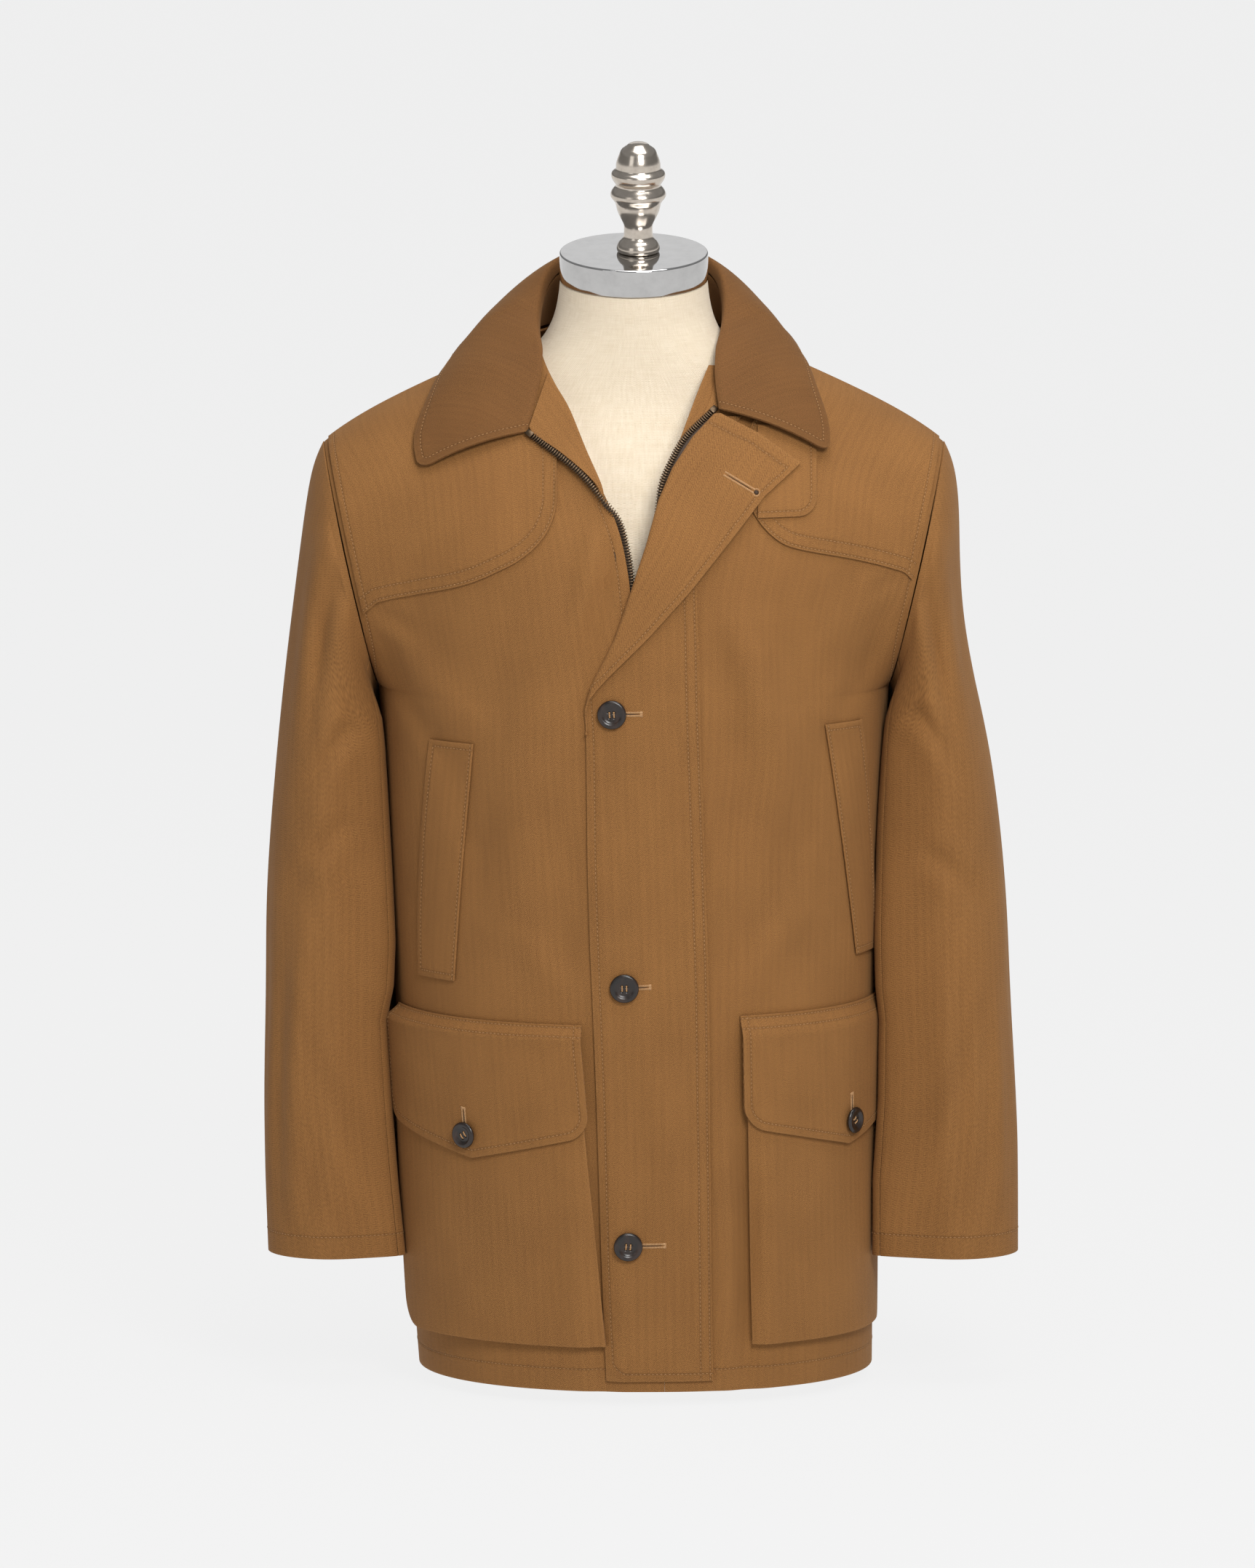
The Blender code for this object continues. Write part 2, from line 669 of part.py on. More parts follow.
def collar_roll(station):
    """The roll of the collar at a signed station, and the way towards the neck there."""
    side = -1 if station < 0 else 1
    row = collar_at[side](abs(station))
    roll = np.array([side * row[0], row[1], row[2]])
    inward = np.array([-roll[0], -0.6 * roll[1], 0.0])
    return side, row, roll, inward / np.linalg.norm(inward)


def collar_fall_point(station, share):
    """The fall: over the roll from inside the neck, then down to the outer edge."""
    side, row, roll, inward = collar_roll(station)
    edge_x, edge_z, lift, full = row[3:]
    along = max(0.0, 6.0 - abs(station)) * 0.045
    reach = 1 - corner_cut(along, COLLAR_CORNER) / 0.10
    if abs(station) < 3.0:
        blend = smooth_step((abs(station) - 2.2) / 0.8)
        level = level_at(edge_x, min(edge_z, 0.8724), 1)
        edge = lifted(side * edge_x, level + (RIDGE - level) * blend, 1, lift)
    else:
        edge = lifted(side * edge_x, level_at(edge_x, edge_z, -1), -1, lift)
    inner = ROLL_DEPTH * (1 - smooth_step((abs(station) - 3.2) / 1.6))
    if share < FALL_SHARES[2]:
        turn = share / FALL_SHARES[2]
        foot = roll + inward * ROLL_IN + np.array([0.0, 0.0, -inner])
        shoulder = roll + inward * ROLL_IN * 0.8
        return foot * (1 - turn) ** 2 + 2 * shoulder * turn * (1 - turn) + roll * turn**2
    down = (share - FALL_SHARES[2]) / (1 - FALL_SHARES[2]) * reach
    outward = np.array([-inward[0], -inward[1], 1.2])
    bulge = outward / np.linalg.norm(outward) * full * 4 * down * (1 - down)
    return roll + (edge - roll) * down + bulge


def collar_pieces():
    """Stand and fall, each from the right front round the back to the left front."""
    stations = [-station for station in reversed(FALL_STATIONS[1:])] + list(FALL_STATIONS)
    sheet(
        "collar_fall",
        stations,
        FALL_SHARES,
        collar_fall_point,
        COLLAR_WALL,
        "collar cotton",
    )

    def stand(station, share):
        _, _, roll, inward = collar_roll(station)
        top = roll + inward * ROLL_IN
        inner = ROLL_DEPTH * (1 - smooth_step((abs(station) - 3.2) / 1.6))
        top[2] -= inner + 1.8 * MM
        side = -1 if station < 0 else 1
        if abs(station) < 3.0:
            turn = abs(station) / 3.0 * math.pi / 2
            x = NECK_POINT * math.sin(turn)
            level = RIDGE - (RIDGE - NECK_LEVEL_BACK) * math.cos(turn)
            foot = lifted(side * x, level, 1, STAND_FOOT)
        else:
            drop = (abs(station) - 3.0) / (STAND_END - 3.0)
            z = 0.8386 - 0.014 * drop
            x = front_edge(z, side)
            foot = lifted(x, level_at(x, z, -1), -1, STAND_FOOT)
        return foot + (top - foot) * share

    reach = [STAND_END * share for share in even(7)]
    spread = [-station for station in reversed(reach[1:])] + reach
    sheet("collar_stand", spread, even(3), stand, CLOTH, "collar cotton")


# Pieces sewn on the fronts.
def shoulder_patch(name, side, inner, column):
    """A patch from its curved lower edge up to the shoulder seam."""
    edge_at = Spline([(row[0], row[column]) for row in PATCH_EDGE])

    def place(u, share):
        low = inner + (0.231 - inner) * u
        foot_z = edge_at(low)[0] + corner_cut(low - inner, PATCH_CORNER)
        foot = level_at(low, foot_z, -1)
        level = foot + (RIDGE - 0.0015 - foot) * share
        top_inner = inner + 0.034 * smooth_step((level - 0.73) / 0.10)
        outer = torso_row(level, -1)[2][0] - PATCH_ARMHOLE_CLEAR
        x = top_inner + (outer - top_inner) * u
        return lifted(side * x, level, -1, PATCH_LIFT)

    sheet(name, dense_ends(9, end=False), dense_ends(11, start=False), place, TRIM_WALL)


def storm_fly():
    """The fly from its sewn edge to its free edge; above the first button the edge rolls and turns back."""
    fly_at = functools.partial(straight, STORM_FLY)
    heights = [row[0] for row in STORM_FLY]
    rows = sorted(heights + [0.235, 0.55, 0.575, 0.598, 0.63, 0.668, 0.703, 0.732, 0.755])
    roll_way = math.pi * FLY_ROLL

    def place(share, z):
        sewn, fold, turned_back = fly_at(z)
        flat = sewn - fold
        rolled = min(turned_back, roll_way)
        whole = flat + max(turned_back, rolled)
        lines = np.interp(
            share, (0.0, FLY_FLAT_LINES, FLY_ROLL_LINES, 1.0), (0.0, flat, flat + rolled, whole)
        )
        turning = smooth_step((z - FLY_TURN_FROM) / (FLY_TURN_FULL - FLY_TURN_FROM))
        way = share * whole * (1 - turning) + lines * turning
        if way <= flat:
            return on_front(sewn - way, z, FLY_LIFT)
        if way <= flat + rolled:
            turn = (way - flat) / FLY_ROLL
            lift = FLY_LIFT + FLY_ROLL * (1 - math.cos(turn))
            return on_front(fold - FLY_ROLL * math.sin(turn), z, lift)
        return on_front(fold + way - flat - rolled, z, FLY_LIFT + 2 * FLY_ROLL)

    sheet("storm_fly", even(17), rows, place)


def throat_tab():
    """The tab, its outer lower corner round."""

    def place(u, share):
        x = TAB_X[0] + (TAB_X[1] - TAB_X[0]) * u
        low = TAB_Z[0] + corner_cut(TAB_X[1] - x, TAB_CORNER)
        return on_front(x, low + (TAB_Z[1] - low) * share, TAB_LIFT)

    sheet("throat_tab", dense_ends(6, start=False), even(5), place, TRIM_WALL)


def facing(name, table, lifts):
    """A strip of facing from the neck side to the zip side of a turned front edge."""
    strip_at = Spline(table)

    def place(u, share):
        neck_z, neck_x, zip_z, zip_x = strip_at(share)
        lift = lifts[0] + (lifts[1] - lifts[0]) * u
        return on_front(neck_x + (zip_x - neck_x) * u, neck_z + (zip_z - neck_z) * u, lift)

    sheet(name, even(3), even(8), place, TRIM_WALL)


ZIP_BESIDE_HEIGHTS = (0.705, 0.690, 0.672)
ZIP_BESIDE = 3.4 * MM
ZIP_SUNK = 0.4 * MM
ZIP_STEP = 0.05
ZIP_CLOSED_TOP = 0.65


def zip_half(name, side, top):
    """One half of the zip as a cord of teeth: along the open edge, then down the front's own edge."""
    points = [on_front(x, z, lift) for z, x, lift in top]
    for z in ZIP_BESIDE_HEIGHTS:
        lift = (top[-1][2] + ZIP_SUNK) * smooth_step((z - 0.68) / 0.03)
        points.append(on_front(front_edge(z, side) - side * ZIP_BESIDE, z, lift - ZIP_SUNK))
    z = ZIP_CLOSED_TOP
    while z > ZIP_FOOT:
        points.append(on_front(zip_line_at(z)[0] + side * (ZIP_RADIUS + SEAM), z, -ZIP_SUNK))
        z -= ZIP_STEP
    curve = bpy.data.curves.new(name, "CURVE")
    curve.dimensions = "3D"
    curve.bevel_depth = ZIP_RADIUS
    curve.bevel_resolution = 1
    curve.use_fill_caps = True
    line = curve.splines.new("POLY")
    line.points.add(len(points) - 1)
    for point, place in zip(line.points, points):
        point.co = (*place, 1.0)
    add(name, curve, "zip brass")


def welt(name, side, ends):
    """A hand-warmer welt, its outer edge bowed and free."""
    (foot_z, foot_x), (top_z, top_x) = ends
    foot_way, top_way = way_at(foot_x, foot_z), way_at(top_x, top_z)

    def place(u, share):
        z = foot_z + (top_z - foot_z) * share
        start = foot_way + (top_way - foot_way) * share
        width = WELT_WIDTH + WELT_BOW * 4 * share * (1 - share)
        return around(start + side * width * u, z, PATCH_LIFT)

    sheet(name, even(3), even(10), place, TRIM_WALL)


def pocket_way(edge, share):
    """The way to the inner edge of a pocket, from its top at 0 to its foot at 1."""
    top = way_at(edge[0], POCKET_TOP)
    foot = way_at(edge[1], POCKET_FOOT)
    return top + (foot - top) * share


def pocket_lift(u, side):
    """How far the bellows hold the pocket off: the left one lies flat at the side, under the arm."""
    return POCKET_LIFT + (POCKET_LIFT_SIDE[side] - POCKET_LIFT) * smooth_step((u - 0.45) / 0.5)


def pocket(name, side, edge):
    """The pocket front: a thick wall held off the coat by its gusset, its outer foot corner cut round."""

    def place(u, share):
        foot = POCKET_FOOT + corner_cut((1 - u) * POCKET_WIDTH, POCKET_CORNER)
        z = POCKET_TOP + (foot - POCKET_TOP) * share
        start = pocket_way(edge, (POCKET_TOP - z) / (POCKET_TOP - POCKET_FOOT))
        return around(start + side * POCKET_WIDTH * u, z, pocket_lift(u, side))

    sheet(f"pocket_{name}", dense_ends(12, start=False), even(9), place, POCKET_WALL)


def gusset(name, side, edge):
    """The gusset under a pocket front: a strip down the inner edge, along the foot and up the outer edge."""
    top, foot = POCKET_TOP - 0.004, POCKET_FOOT + GUSSET_INSET
    low, high = GUSSET_INSET / POCKET_WIDTH, 0.76
    path = [(low, top + (foot - top) * share) for share in even(5)]
    path += [(low + (high - low) * share, foot) for share in even(10)[1:]]
    path += [(high, foot + (top - foot) * share) for share in even(5)[1:]]

    def place(lift_share, index):
        u, z = path[round(index * (len(path) - 1))]
        start = pocket_way(edge, (POCKET_TOP - z) / (POCKET_TOP - POCKET_FOOT))
        low_lift = CLOTH / 2 + 0.5 * MM
        high_lift = pocket_lift(u, side) - POCKET_WALL / 2 - 0.8 * MM
        return around(start + side * POCKET_WIDTH * u, z, low_lift + (high_lift - low_lift) * lift_share)

    sheet(f"gusset_{name}", even(1), even(len(path) - 1), place, 1.2 * MM)


def flap_place(side, edge, top, u, share):
    """A point of a flap: sewn above the pocket, then over its mouth to a pointed lower edge."""
    width = POCKET_WIDTH + 2 * FLAP_OVER
    away = min(u, 1 - u) * width
    drop = FLAP_SIDE_DROP + (FLAP_POINT_DROP - FLAP_SIDE_DROP) * (1 - abs(2 * u - 1))
    z = top - (drop - corner_cut(away, FLAP_CORNER)) * share
    start = pocket_way(edge, max(POCKET_TOP - z, 0.0) / (POCKET_TOP - POCKET_FOOT))
    over = smooth_step((top - z) / (top - POCKET_TOP - 0.003))
    high = pocket_lift(u, side) + POCKET_WALL / 2 + FLAP_WALL / 2 + 1.2 * MM
    lift = PATCH_LIFT + (high - PATCH_LIFT) * over
    return around(start + side * (width * u - FLAP_OVER), z, lift), lift


def flap(name, side, edge, top):
    """A flap with its lines closer together where it climbs over the pocket's mouth."""
    shares = (0.0, 0.06, 0.12, 0.19, 0.34, 0.50, 0.66, 0.82, 1.0)

    def place(u, share):
        return flap_place(side, edge, top, u, share)[0]

    sheet(f"flap_{name}", dense_ends(14), shares, place, FLAP_WALL)


# Buttons.
def button(name, diameter, place, normal):
    """A turned button with a raised rim and a dished middle, its back towards the cloth."""
    radius = diameter / 2
    profile = (
        (0.0, 0.62 * BUTTON_THICK),
        (0.52 * radius, 0.66 * BUTTON_THICK),
        (0.72 * radius, BUTTON_THICK),
        (0.90 * radius, BUTTON_THICK),
        (radius, 0.55 * BUTTON_THICK),
        (0.80 * radius, 0.0),
        (0.0, 0.0),
    )
    part = turned(name, profile, 18, "horn")
    part.location = place
    turn = np.cross((0.0, 0.0, 1.0), normal)
    angle = math.acos(normal[2])
    part.rotation_mode = "AXIS_ANGLE"
    part.rotation_axis_angle = (angle, *(turn / np.linalg.norm(turn)))


def buttons():
    """Front buttons on the fly, and a button near the point of each flap."""
    for number, (x, z) in enumerate(FRONT_BUTTONS, 1):
        base = on_front(x, z, FLY_LIFT)
        normal = on_front(x, z, FLY_LIFT + 1.0) - base
        button(f"front_button_{number}", FRONT_BUTTON, base + normal * (CLOTH / 2 + BUTTON_CLEAR), normal)
    for name, side, edge, top in (
        ("right", -1, POCKET_RIGHT, FLAP_TOP[0]),
        ("left", 1, POCKET_LEFT, FLAP_TOP[1]),
    ):
        place, lift = flap_place(side, edge, top, 0.52, 0.84)
        width = POCKET_WIDTH + 2 * FLAP_OVER
        way = pocket_way(edge, (POCKET_TOP - place[2]) / (POCKET_TOP - POCKET_FOOT))
        way += side * (width * 0.52 - FLAP_OVER)
        normal = around(way, place[2], lift + 1.0) - around(way, place[2], lift)
        out = FLAP_WALL / 2 + BUTTON_CLEAR + 0.3 * MM
        button(f"flap_button_{name}", FLAP_BUTTON, place + normal * out, normal)


# Dress form.
FORM_COLUMNS = 32
FORM_LEVELS = 19


def form_torso():
    """The padded torso with its neck, one closed body standing on a flat base."""
    rings_at = Spline(FORM)
    top = FORM[-1][0]

    def place(u, share):
        z = top * share
        half_width, front, back = rings_at(z)
        roundness = FORM_ROUND + (2.0 - FORM_ROUND) * smooth_step((z - NECK_ROUND_FROM) / 0.06)
        angle = 2 * math.pi * u
        sine, cosine = math.sin(angle), math.cos(angle)
        x = half_width * math.copysign(abs(sine) ** (2 / roundness), sine)
        y = -math.copysign(abs(cosine) ** (2 / roundness), cosine) * (front if cosine > 0 else back)
        tilt = math.tan(CAP_TILT) * smooth_step((z - TILT_FROM) / (top - TILT_FROM))
        return np.array([x, y, z + y * tilt])

    levels = [1 - (1 - share) ** 1.5 for share in even(FORM_LEVELS)]
    mesh = mapped_grid("form_torso", even(FORM_COLUMNS), levels, place)
    shape = bmesh.new()
    shape.from_mesh(mesh)
    bmesh.ops.remove_doubles(shape, verts=shape.verts, dist=0.00005)
    bmesh.ops.holes_fill(shape, edges=[edge for edge in shape.edges if edge.is_boundary], sides=0)
    bmesh.ops.recalc_face_normals(shape, faces=shape.faces)
    shape.to_mesh(mesh)
    shape.free()
    add("form_torso", mesh, "linen")


def form_cap_and_finial():
    """The turned neck cap, tilted with the neck, and the finial on it."""
    radius = CAP_DIAMETER / 2
    edge = 1.6 * MM
    profile = (
        (0.0, CAP_HEIGHT),
        (radius - edge, CAP_HEIGHT),
        (radius - 0.3 * edge, CAP_HEIGHT - 0.3 * edge),
        (radius, CAP_HEIGHT - edge),
        (radius, 0.0),
        (0.0, 0.0),
    )
    cap = turned("form_neck_cap", profile, 32, "nickel")
    cap.location = (0.0, 0.0, CAP_FOOT)
    cap.rotation_euler = (CAP_TILT, 0.0, 0.0)
    profile = [(radius, height) for height, radius in reversed(FINIAL)] + [(0.0, 0.0)]
    finial = turned("form_finial", profile, 18, "nickel")
    up = CAP_HEIGHT + SEAM
    finial.location = (FINIAL_ASIDE, -math.sin(CAP_TILT) * up, CAP_FOOT + math.cos(CAP_TILT) * up)
    finial.rotation_euler = (CAP_TILT, 0.0, 0.0)


def main():
    for old in list(bpy.data.objects):
        bpy.data.objects.remove(old)
    coat = bpy.data.collections.new("field_coat_on_dress_form")
    bpy.context.scene.collection.children.link(coat)
    front_panel("front_right", -1)
    front_panel("front_left", 1)
    back_panel()
    sleeve_panels("sleeve_right", -1)
    sleeve_panels("sleeve_left", 1)
    collar_pieces()
    shoulder_patch("shoulder_patch_right", -1, PATCH_INNER_RIGHT, 1)
    shoulder_patch("shoulder_patch_left", 1, PATCH_INNER_LEFT, 2)
    storm_fly()
    throat_tab()
    facing("facing_right", FACING_RIGHT, FACING_RIGHT_LIFT)
    facing("facing_left", FACING_LEFT, FACING_LEFT_LIFT)
    zip_half("zip_right", -1, ZIP_RIGHT_TOP)
    zip_half("zip_left", 1, ZIP_LEFT_TOP)
    welt("welt_right", -1, WELT_RIGHT)
    welt("welt_left", 1, WELT_LEFT)
    for name, side, edge, top in (
        ("right", -1, POCKET_RIGHT, FLAP_TOP[0]),
        ("left", 1, POCKET_LEFT, FLAP_TOP[1]),
    ):
        pocket(name, side, edge)
        gusset(name, side, edge)
        flap(name, side, edge, top)
    buttons()
    form_torso()
    form_cap_and_finial()


main()
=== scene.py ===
"""Looks of a field coat on a limbless dress form.

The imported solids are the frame. Every cut piece of the coat gets a thin shell of cloth on the form of its solid,
with soft creases, rows of stitches and a woven finish. The buttons, the zip and the dress form are made in full.
Metres, +Z up. The coat faces -Y, so +X is the wearer's left.
"""

import functools
import logging
import math
from collections.abc import Callable, Sequence
from dataclasses import dataclass
from enum import Enum

import bmesh
import bpy
import numpy as np
from mathutils import Matrix, Vector


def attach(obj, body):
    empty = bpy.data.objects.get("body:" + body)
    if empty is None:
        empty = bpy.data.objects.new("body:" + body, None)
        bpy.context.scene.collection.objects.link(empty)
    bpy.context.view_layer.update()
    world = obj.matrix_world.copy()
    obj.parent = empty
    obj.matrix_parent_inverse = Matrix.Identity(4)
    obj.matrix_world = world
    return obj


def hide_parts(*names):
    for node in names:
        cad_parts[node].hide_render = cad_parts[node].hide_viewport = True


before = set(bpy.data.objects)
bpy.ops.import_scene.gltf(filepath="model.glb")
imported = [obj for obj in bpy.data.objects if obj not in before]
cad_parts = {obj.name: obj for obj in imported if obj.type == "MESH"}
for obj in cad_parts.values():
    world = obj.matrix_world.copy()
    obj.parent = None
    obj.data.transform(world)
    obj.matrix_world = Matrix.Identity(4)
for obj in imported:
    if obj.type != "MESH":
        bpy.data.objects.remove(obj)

MM = 0.001
BODY = "root"
LOG = logging.getLogger("field_coat")

Array = np.ndarray
Table = tuple[tuple[float, ...], ...]
Pair = tuple[float, float]
Triple = tuple[float, float, float]
Place = Callable[[Array, Array], Array]
Shape = bmesh.types.BMesh
Tree = bpy.types.NodeTree
Socket = bpy.types.NodeSocket


def to_linear(colour: str) -> tuple[float, float, float, float]:
    """Turns an sRGB hex colour into linear light.

    Args:
        colour: the colour as "#rrggbb".
    Returns:
        Red, green, blue and an alpha of 1.
    """
    parts = [int(colour[i : i + 2], 16) / 255 for i in (1, 3, 5)]
    linear = [part / 12.92 if part <= 0.04045 else ((part + 0.055) / 1.055) ** 2.4 for part in parts]
    return (linear[0], linear[1], linear[2], 1.0)


def smooth_step(share: Array | float) -> Array:
    """An even rise from 0 to 1, level at both ends."""
    share = np.clip(share, 0.0, 1.0)
    return share * share * (3 - 2 * share)


def corner_cut(distance: Array | float, radius: float) -> Array:
    """How far a round corner draws an edge back.

    Args:
        distance: how far the place is from the neighbouring edge.
        radius: the radius of the corner.
    Returns:
        The way that the edge is drawn back, 0 past the corner.
    """
    inside = np.clip(radius - np.asarray(distance, float), 0.0, radius)
    return radius - np.sqrt(radius**2 - inside**2)


def even(count: int) -> Array:
    """Shares from 0 to 1 in equal steps."""
    return np.linspace(0.0, 1.0, count + 1)


def dense_ends(count: int, start: bool = True, end: bool = True) -> Array:
    """Shares from 0 to 1 that lie closer at the chosen ends, where corners are round.

    Args:
        count: number of steps.
        start: whether they lie closer at 0.
        end: whether they lie closer at 1.
    Returns:
        The shares.
    """
    shares = even(count)
    if start and end:
        return (1 - np.cos(np.pi * shares)) / 2
    if start:
        return 1 - np.cos(np.pi / 2 * shares)
    return np.sin(np.pi / 2 * shares)


def finer(values: Sequence[float], count: int) -> Array:
    """The same run of values in more steps."""
    return np.interp(even(count), even(len(values) - 1), values)


def unit(vectors: Array) -> Array:
    """The vectors at a length of 1."""
    return vectors / np.maximum(np.linalg.norm(vectors, axis=-1, keepdims=True), 1e-12)


def between(low: Array | float, high: Array | float, share: Array | float) -> Array | float:
    """The value at a share of the way from one value to another."""
    return low + (high - low) * share


def way_along(points: Array) -> Array:
    """The way along a line to each of its points."""
    return np.concatenate([[0.0], np.cumsum(np.linalg.norm(np.diff(points, axis=0), axis=1))])


class Spline:
    """A natural cubic spline through the rows of a table, read by the table's first column."""

    def __init__(self, rows: Sequence[Sequence[float]]) -> None:
        """Works out the bends at the rows.

        Args:
            rows: the place in the first column, then the values there.
        """
        table = np.array(rows, float)
        self.knots, self.values = table[:, 0], table[:, 1:]
        gaps = np.diff(self.knots)
        slopes = np.diff(self.values, axis=0) / gaps[:, None]
        matrix = np.eye(len(table))
        bends = np.zeros_like(self.values)
        for i in range(1, len(table) - 1):
            matrix[i, i - 1 : i + 2] = gaps[i - 1], 2 * (gaps[i - 1] + gaps[i]), gaps[i]
            bends[i] = 6 * (slopes[i] - slopes[i - 1])
        self.bends = np.linalg.solve(matrix, bends)

    def __call__(self, at: Array | float) -> Array:
        """Reads the spline.

        Args:
            at: places, held within the table.
        Returns:
            One array of values for each column after the first.
        """
        at = np.clip(np.asarray(at, float), self.knots[0], self.knots[-1])
        i = np.clip(np.searchsorted(self.knots, at) - 1, 0, len(self.knots) - 2)
        gap = self.knots[i + 1] - self.knots[i]
        low = ((self.knots[i + 1] - at) / gap)[..., None]
        high = 1 - low
        bend = (low**3 - low) * self.bends[i] + (high**3 - high) * self.bends[i + 1]
        found = low * self.values[i] + high * self.values[i + 1] + bend * gap[..., None] ** 2 / 6
        return np.moveaxis(found, -1, 0)


# Cloth rises beside a trough: how much of its depth, how many widths away, and over how many widths.
RIM, RIM_AWAY, RIM_WIDTH = 0.4, 1.9, 1.1


@dataclass(frozen=True)
class Crease:
    """A soft trough or ridge of the cloth, drawn from one place of a surface to another.

    The depth is below 0 for a trough. The peak is the share of the way where it is deepest.
    """

    start: Pair
    end: Pair
    depth: float
    width: float
    bow: float = 0.0
    peak: float = 0.4

    def height(self, across: Array, up: Array) -> Array:
        """How far the crease moves the cloth out.

        Args:
            across: places across the surface.
            up: places up the surface.
        Returns:
            The move out, below 0 for a trough.
        """
        run = (self.end[0] - self.start[0], self.end[1] - self.start[1])
        length = math.hypot(*run)
        away = (across - self.start[0], up - self.start[1])
        share = np.clip((away[0] * run[0] + away[1] * run[1]) / length**2, 0.0, 1.0)
        side = (away[1] * run[0] - away[0] * run[1]) / length - self.bow * 4 * share * (1 - share)
        side = np.abs(side) / self.width
        fade = np.sin(np.pi * share ** (math.log(0.5) / math.log(self.peak)))
        shape = np.exp(-(side**2)) - RIM * np.exp(-(((side - RIM_AWAY) / RIM_WIDTH) ** 2))
        return self.depth * fade * shape


# Places of the creases are x and height on the front and on the back, as seen from in front.
FRONT_CREASES = (
    Crease((-0.203, 0.596), (-0.142, 0.508), -0.0062, 0.009, -0.006, 0.36),
    Crease((-0.198, 0.622), (-0.105, 0.530), 0.0038, 0.012, -0.008, 0.34),
    Crease((-0.208, 0.628), (-0.165, 0.606), -0.0034, 0.006, 0.003, 0.30),
    Crease((-0.206, 0.612), (-0.178, 0.596), 0.0022, 0.005, 0.002, 0.35),
    Crease((-0.150, 0.540), (-0.128, 0.400), -0.0036, 0.016, 0.006, 0.40),
    Crease((-0.055, 0.655), (-0.098, 0.430), 0.0042, 0.018, -0.008, 0.40),
    Crease((-0.018, 0.690), (-0.050, 0.560), -0.0034, 0.006, 0.004, 0.30),
    Crease((-0.030, 0.700), (-0.068, 0.580), 0.0030, 0.007, 0.005, 0.30),
    Crease((-0.045, 0.470), (-0.070, 0.300), -0.0032, 0.015, 0.006, 0.50),
    Crease((-0.100, 0.385), (-0.050, 0.320), 0.0026, 0.012, 0.004, 0.45),
    Crease((0.206, 0.640), (0.152, 0.535), -0.0056, 0.009, 0.007, 0.34),
    Crease((0.200, 0.668), (0.128, 0.580), 0.0034, 0.012, 0.007, 0.34),
    Crease((0.208, 0.655), (0.176, 0.628), -0.0030, 0.006, -0.003, 0.30),
    Crease((0.160, 0.545), (0.118, 0.400), -0.0036, 0.015, -0.004, 0.40),
    Crease((0.082, 0.640), (0.118, 0.440), 0.0042, 0.018, 0.008, 0.40),
    Crease((0.066, 0.620), (0.078, 0.470), -0.0024, 0.011, 0.003, 0.40),
    Crease((0.135, 0.400), (0.085, 0.325), 0.0028, 0.013, -0.004, 0.45),
    Crease((0.083, 0.300), (0.076, 0.000), -0.0070, 0.009, 0.003, 0.60),
    Crease((0.071, 0.270), (0.068, 0.000), 0.0036, 0.008, 0.002, 0.65),
    Crease((-0.036, 0.260), (-0.034, 0.000), -0.0046, 0.009, 0.002, 0.65),
    Crease((0.032, 0.450), (0.008, 0.300), -0.0020, 0.012, 0.004, 0.50),
    Crease((0.004, 0.300), (0.034, 0.150), 0.0018, 0.013, 0.0, 0.50),
)
BACK_CREASES = (
    Crease((-0.200, 0.610), (-0.090, 0.480), -0.0080, 0.017, -0.010, 0.30),
    Crease((-0.205, 0.650), (-0.100, 0.600), -0.0048, 0.012, 0.006, 0.30),
    Crease((-0.190, 0.580), (-0.110, 0.430), 0.0044, 0.015, -0.008, 0.35),
    Crease((0.200, 0.600), (0.080, 0.490), -0.0076, 0.018, 0.012, 0.30),
    Crease((0.205, 0.660), (0.110, 0.590), -0.0050, 0.012, -0.004, 0.35),
    Crease((0.190, 0.560), (0.130, 0.420), 0.0040, 0.015, 0.006, 0.35),
    Crease((-0.060, 0.760), (-0.120, 0.540), 0.0056, 0.024, 0.010, 0.40),
    Crease((0.055, 0.750), (0.125, 0.560), 0.0052, 0.026, -0.008, 0.45),
    Crease((-0.050, 0.440), (-0.075, 0.000), -0.0080, 0.022, 0.006, 0.70),
    Crease((0.035, 0.400), (0.050, 0.000), 0.0074, 0.024, -0.004, 0.72),
    Crease((0.120, 0.360), (0.130, 0.000), -0.0070, 0.020, 0.004, 0.70),
    Crease((-0.130, 0.330), (-0.140, 0.000), 0.0064, 0.020, 0.0, 0.70),
    Crease((-0.030, 0.640), (0.040, 0.560), -0.0034, 0.018, 0.006, 0.50),
)
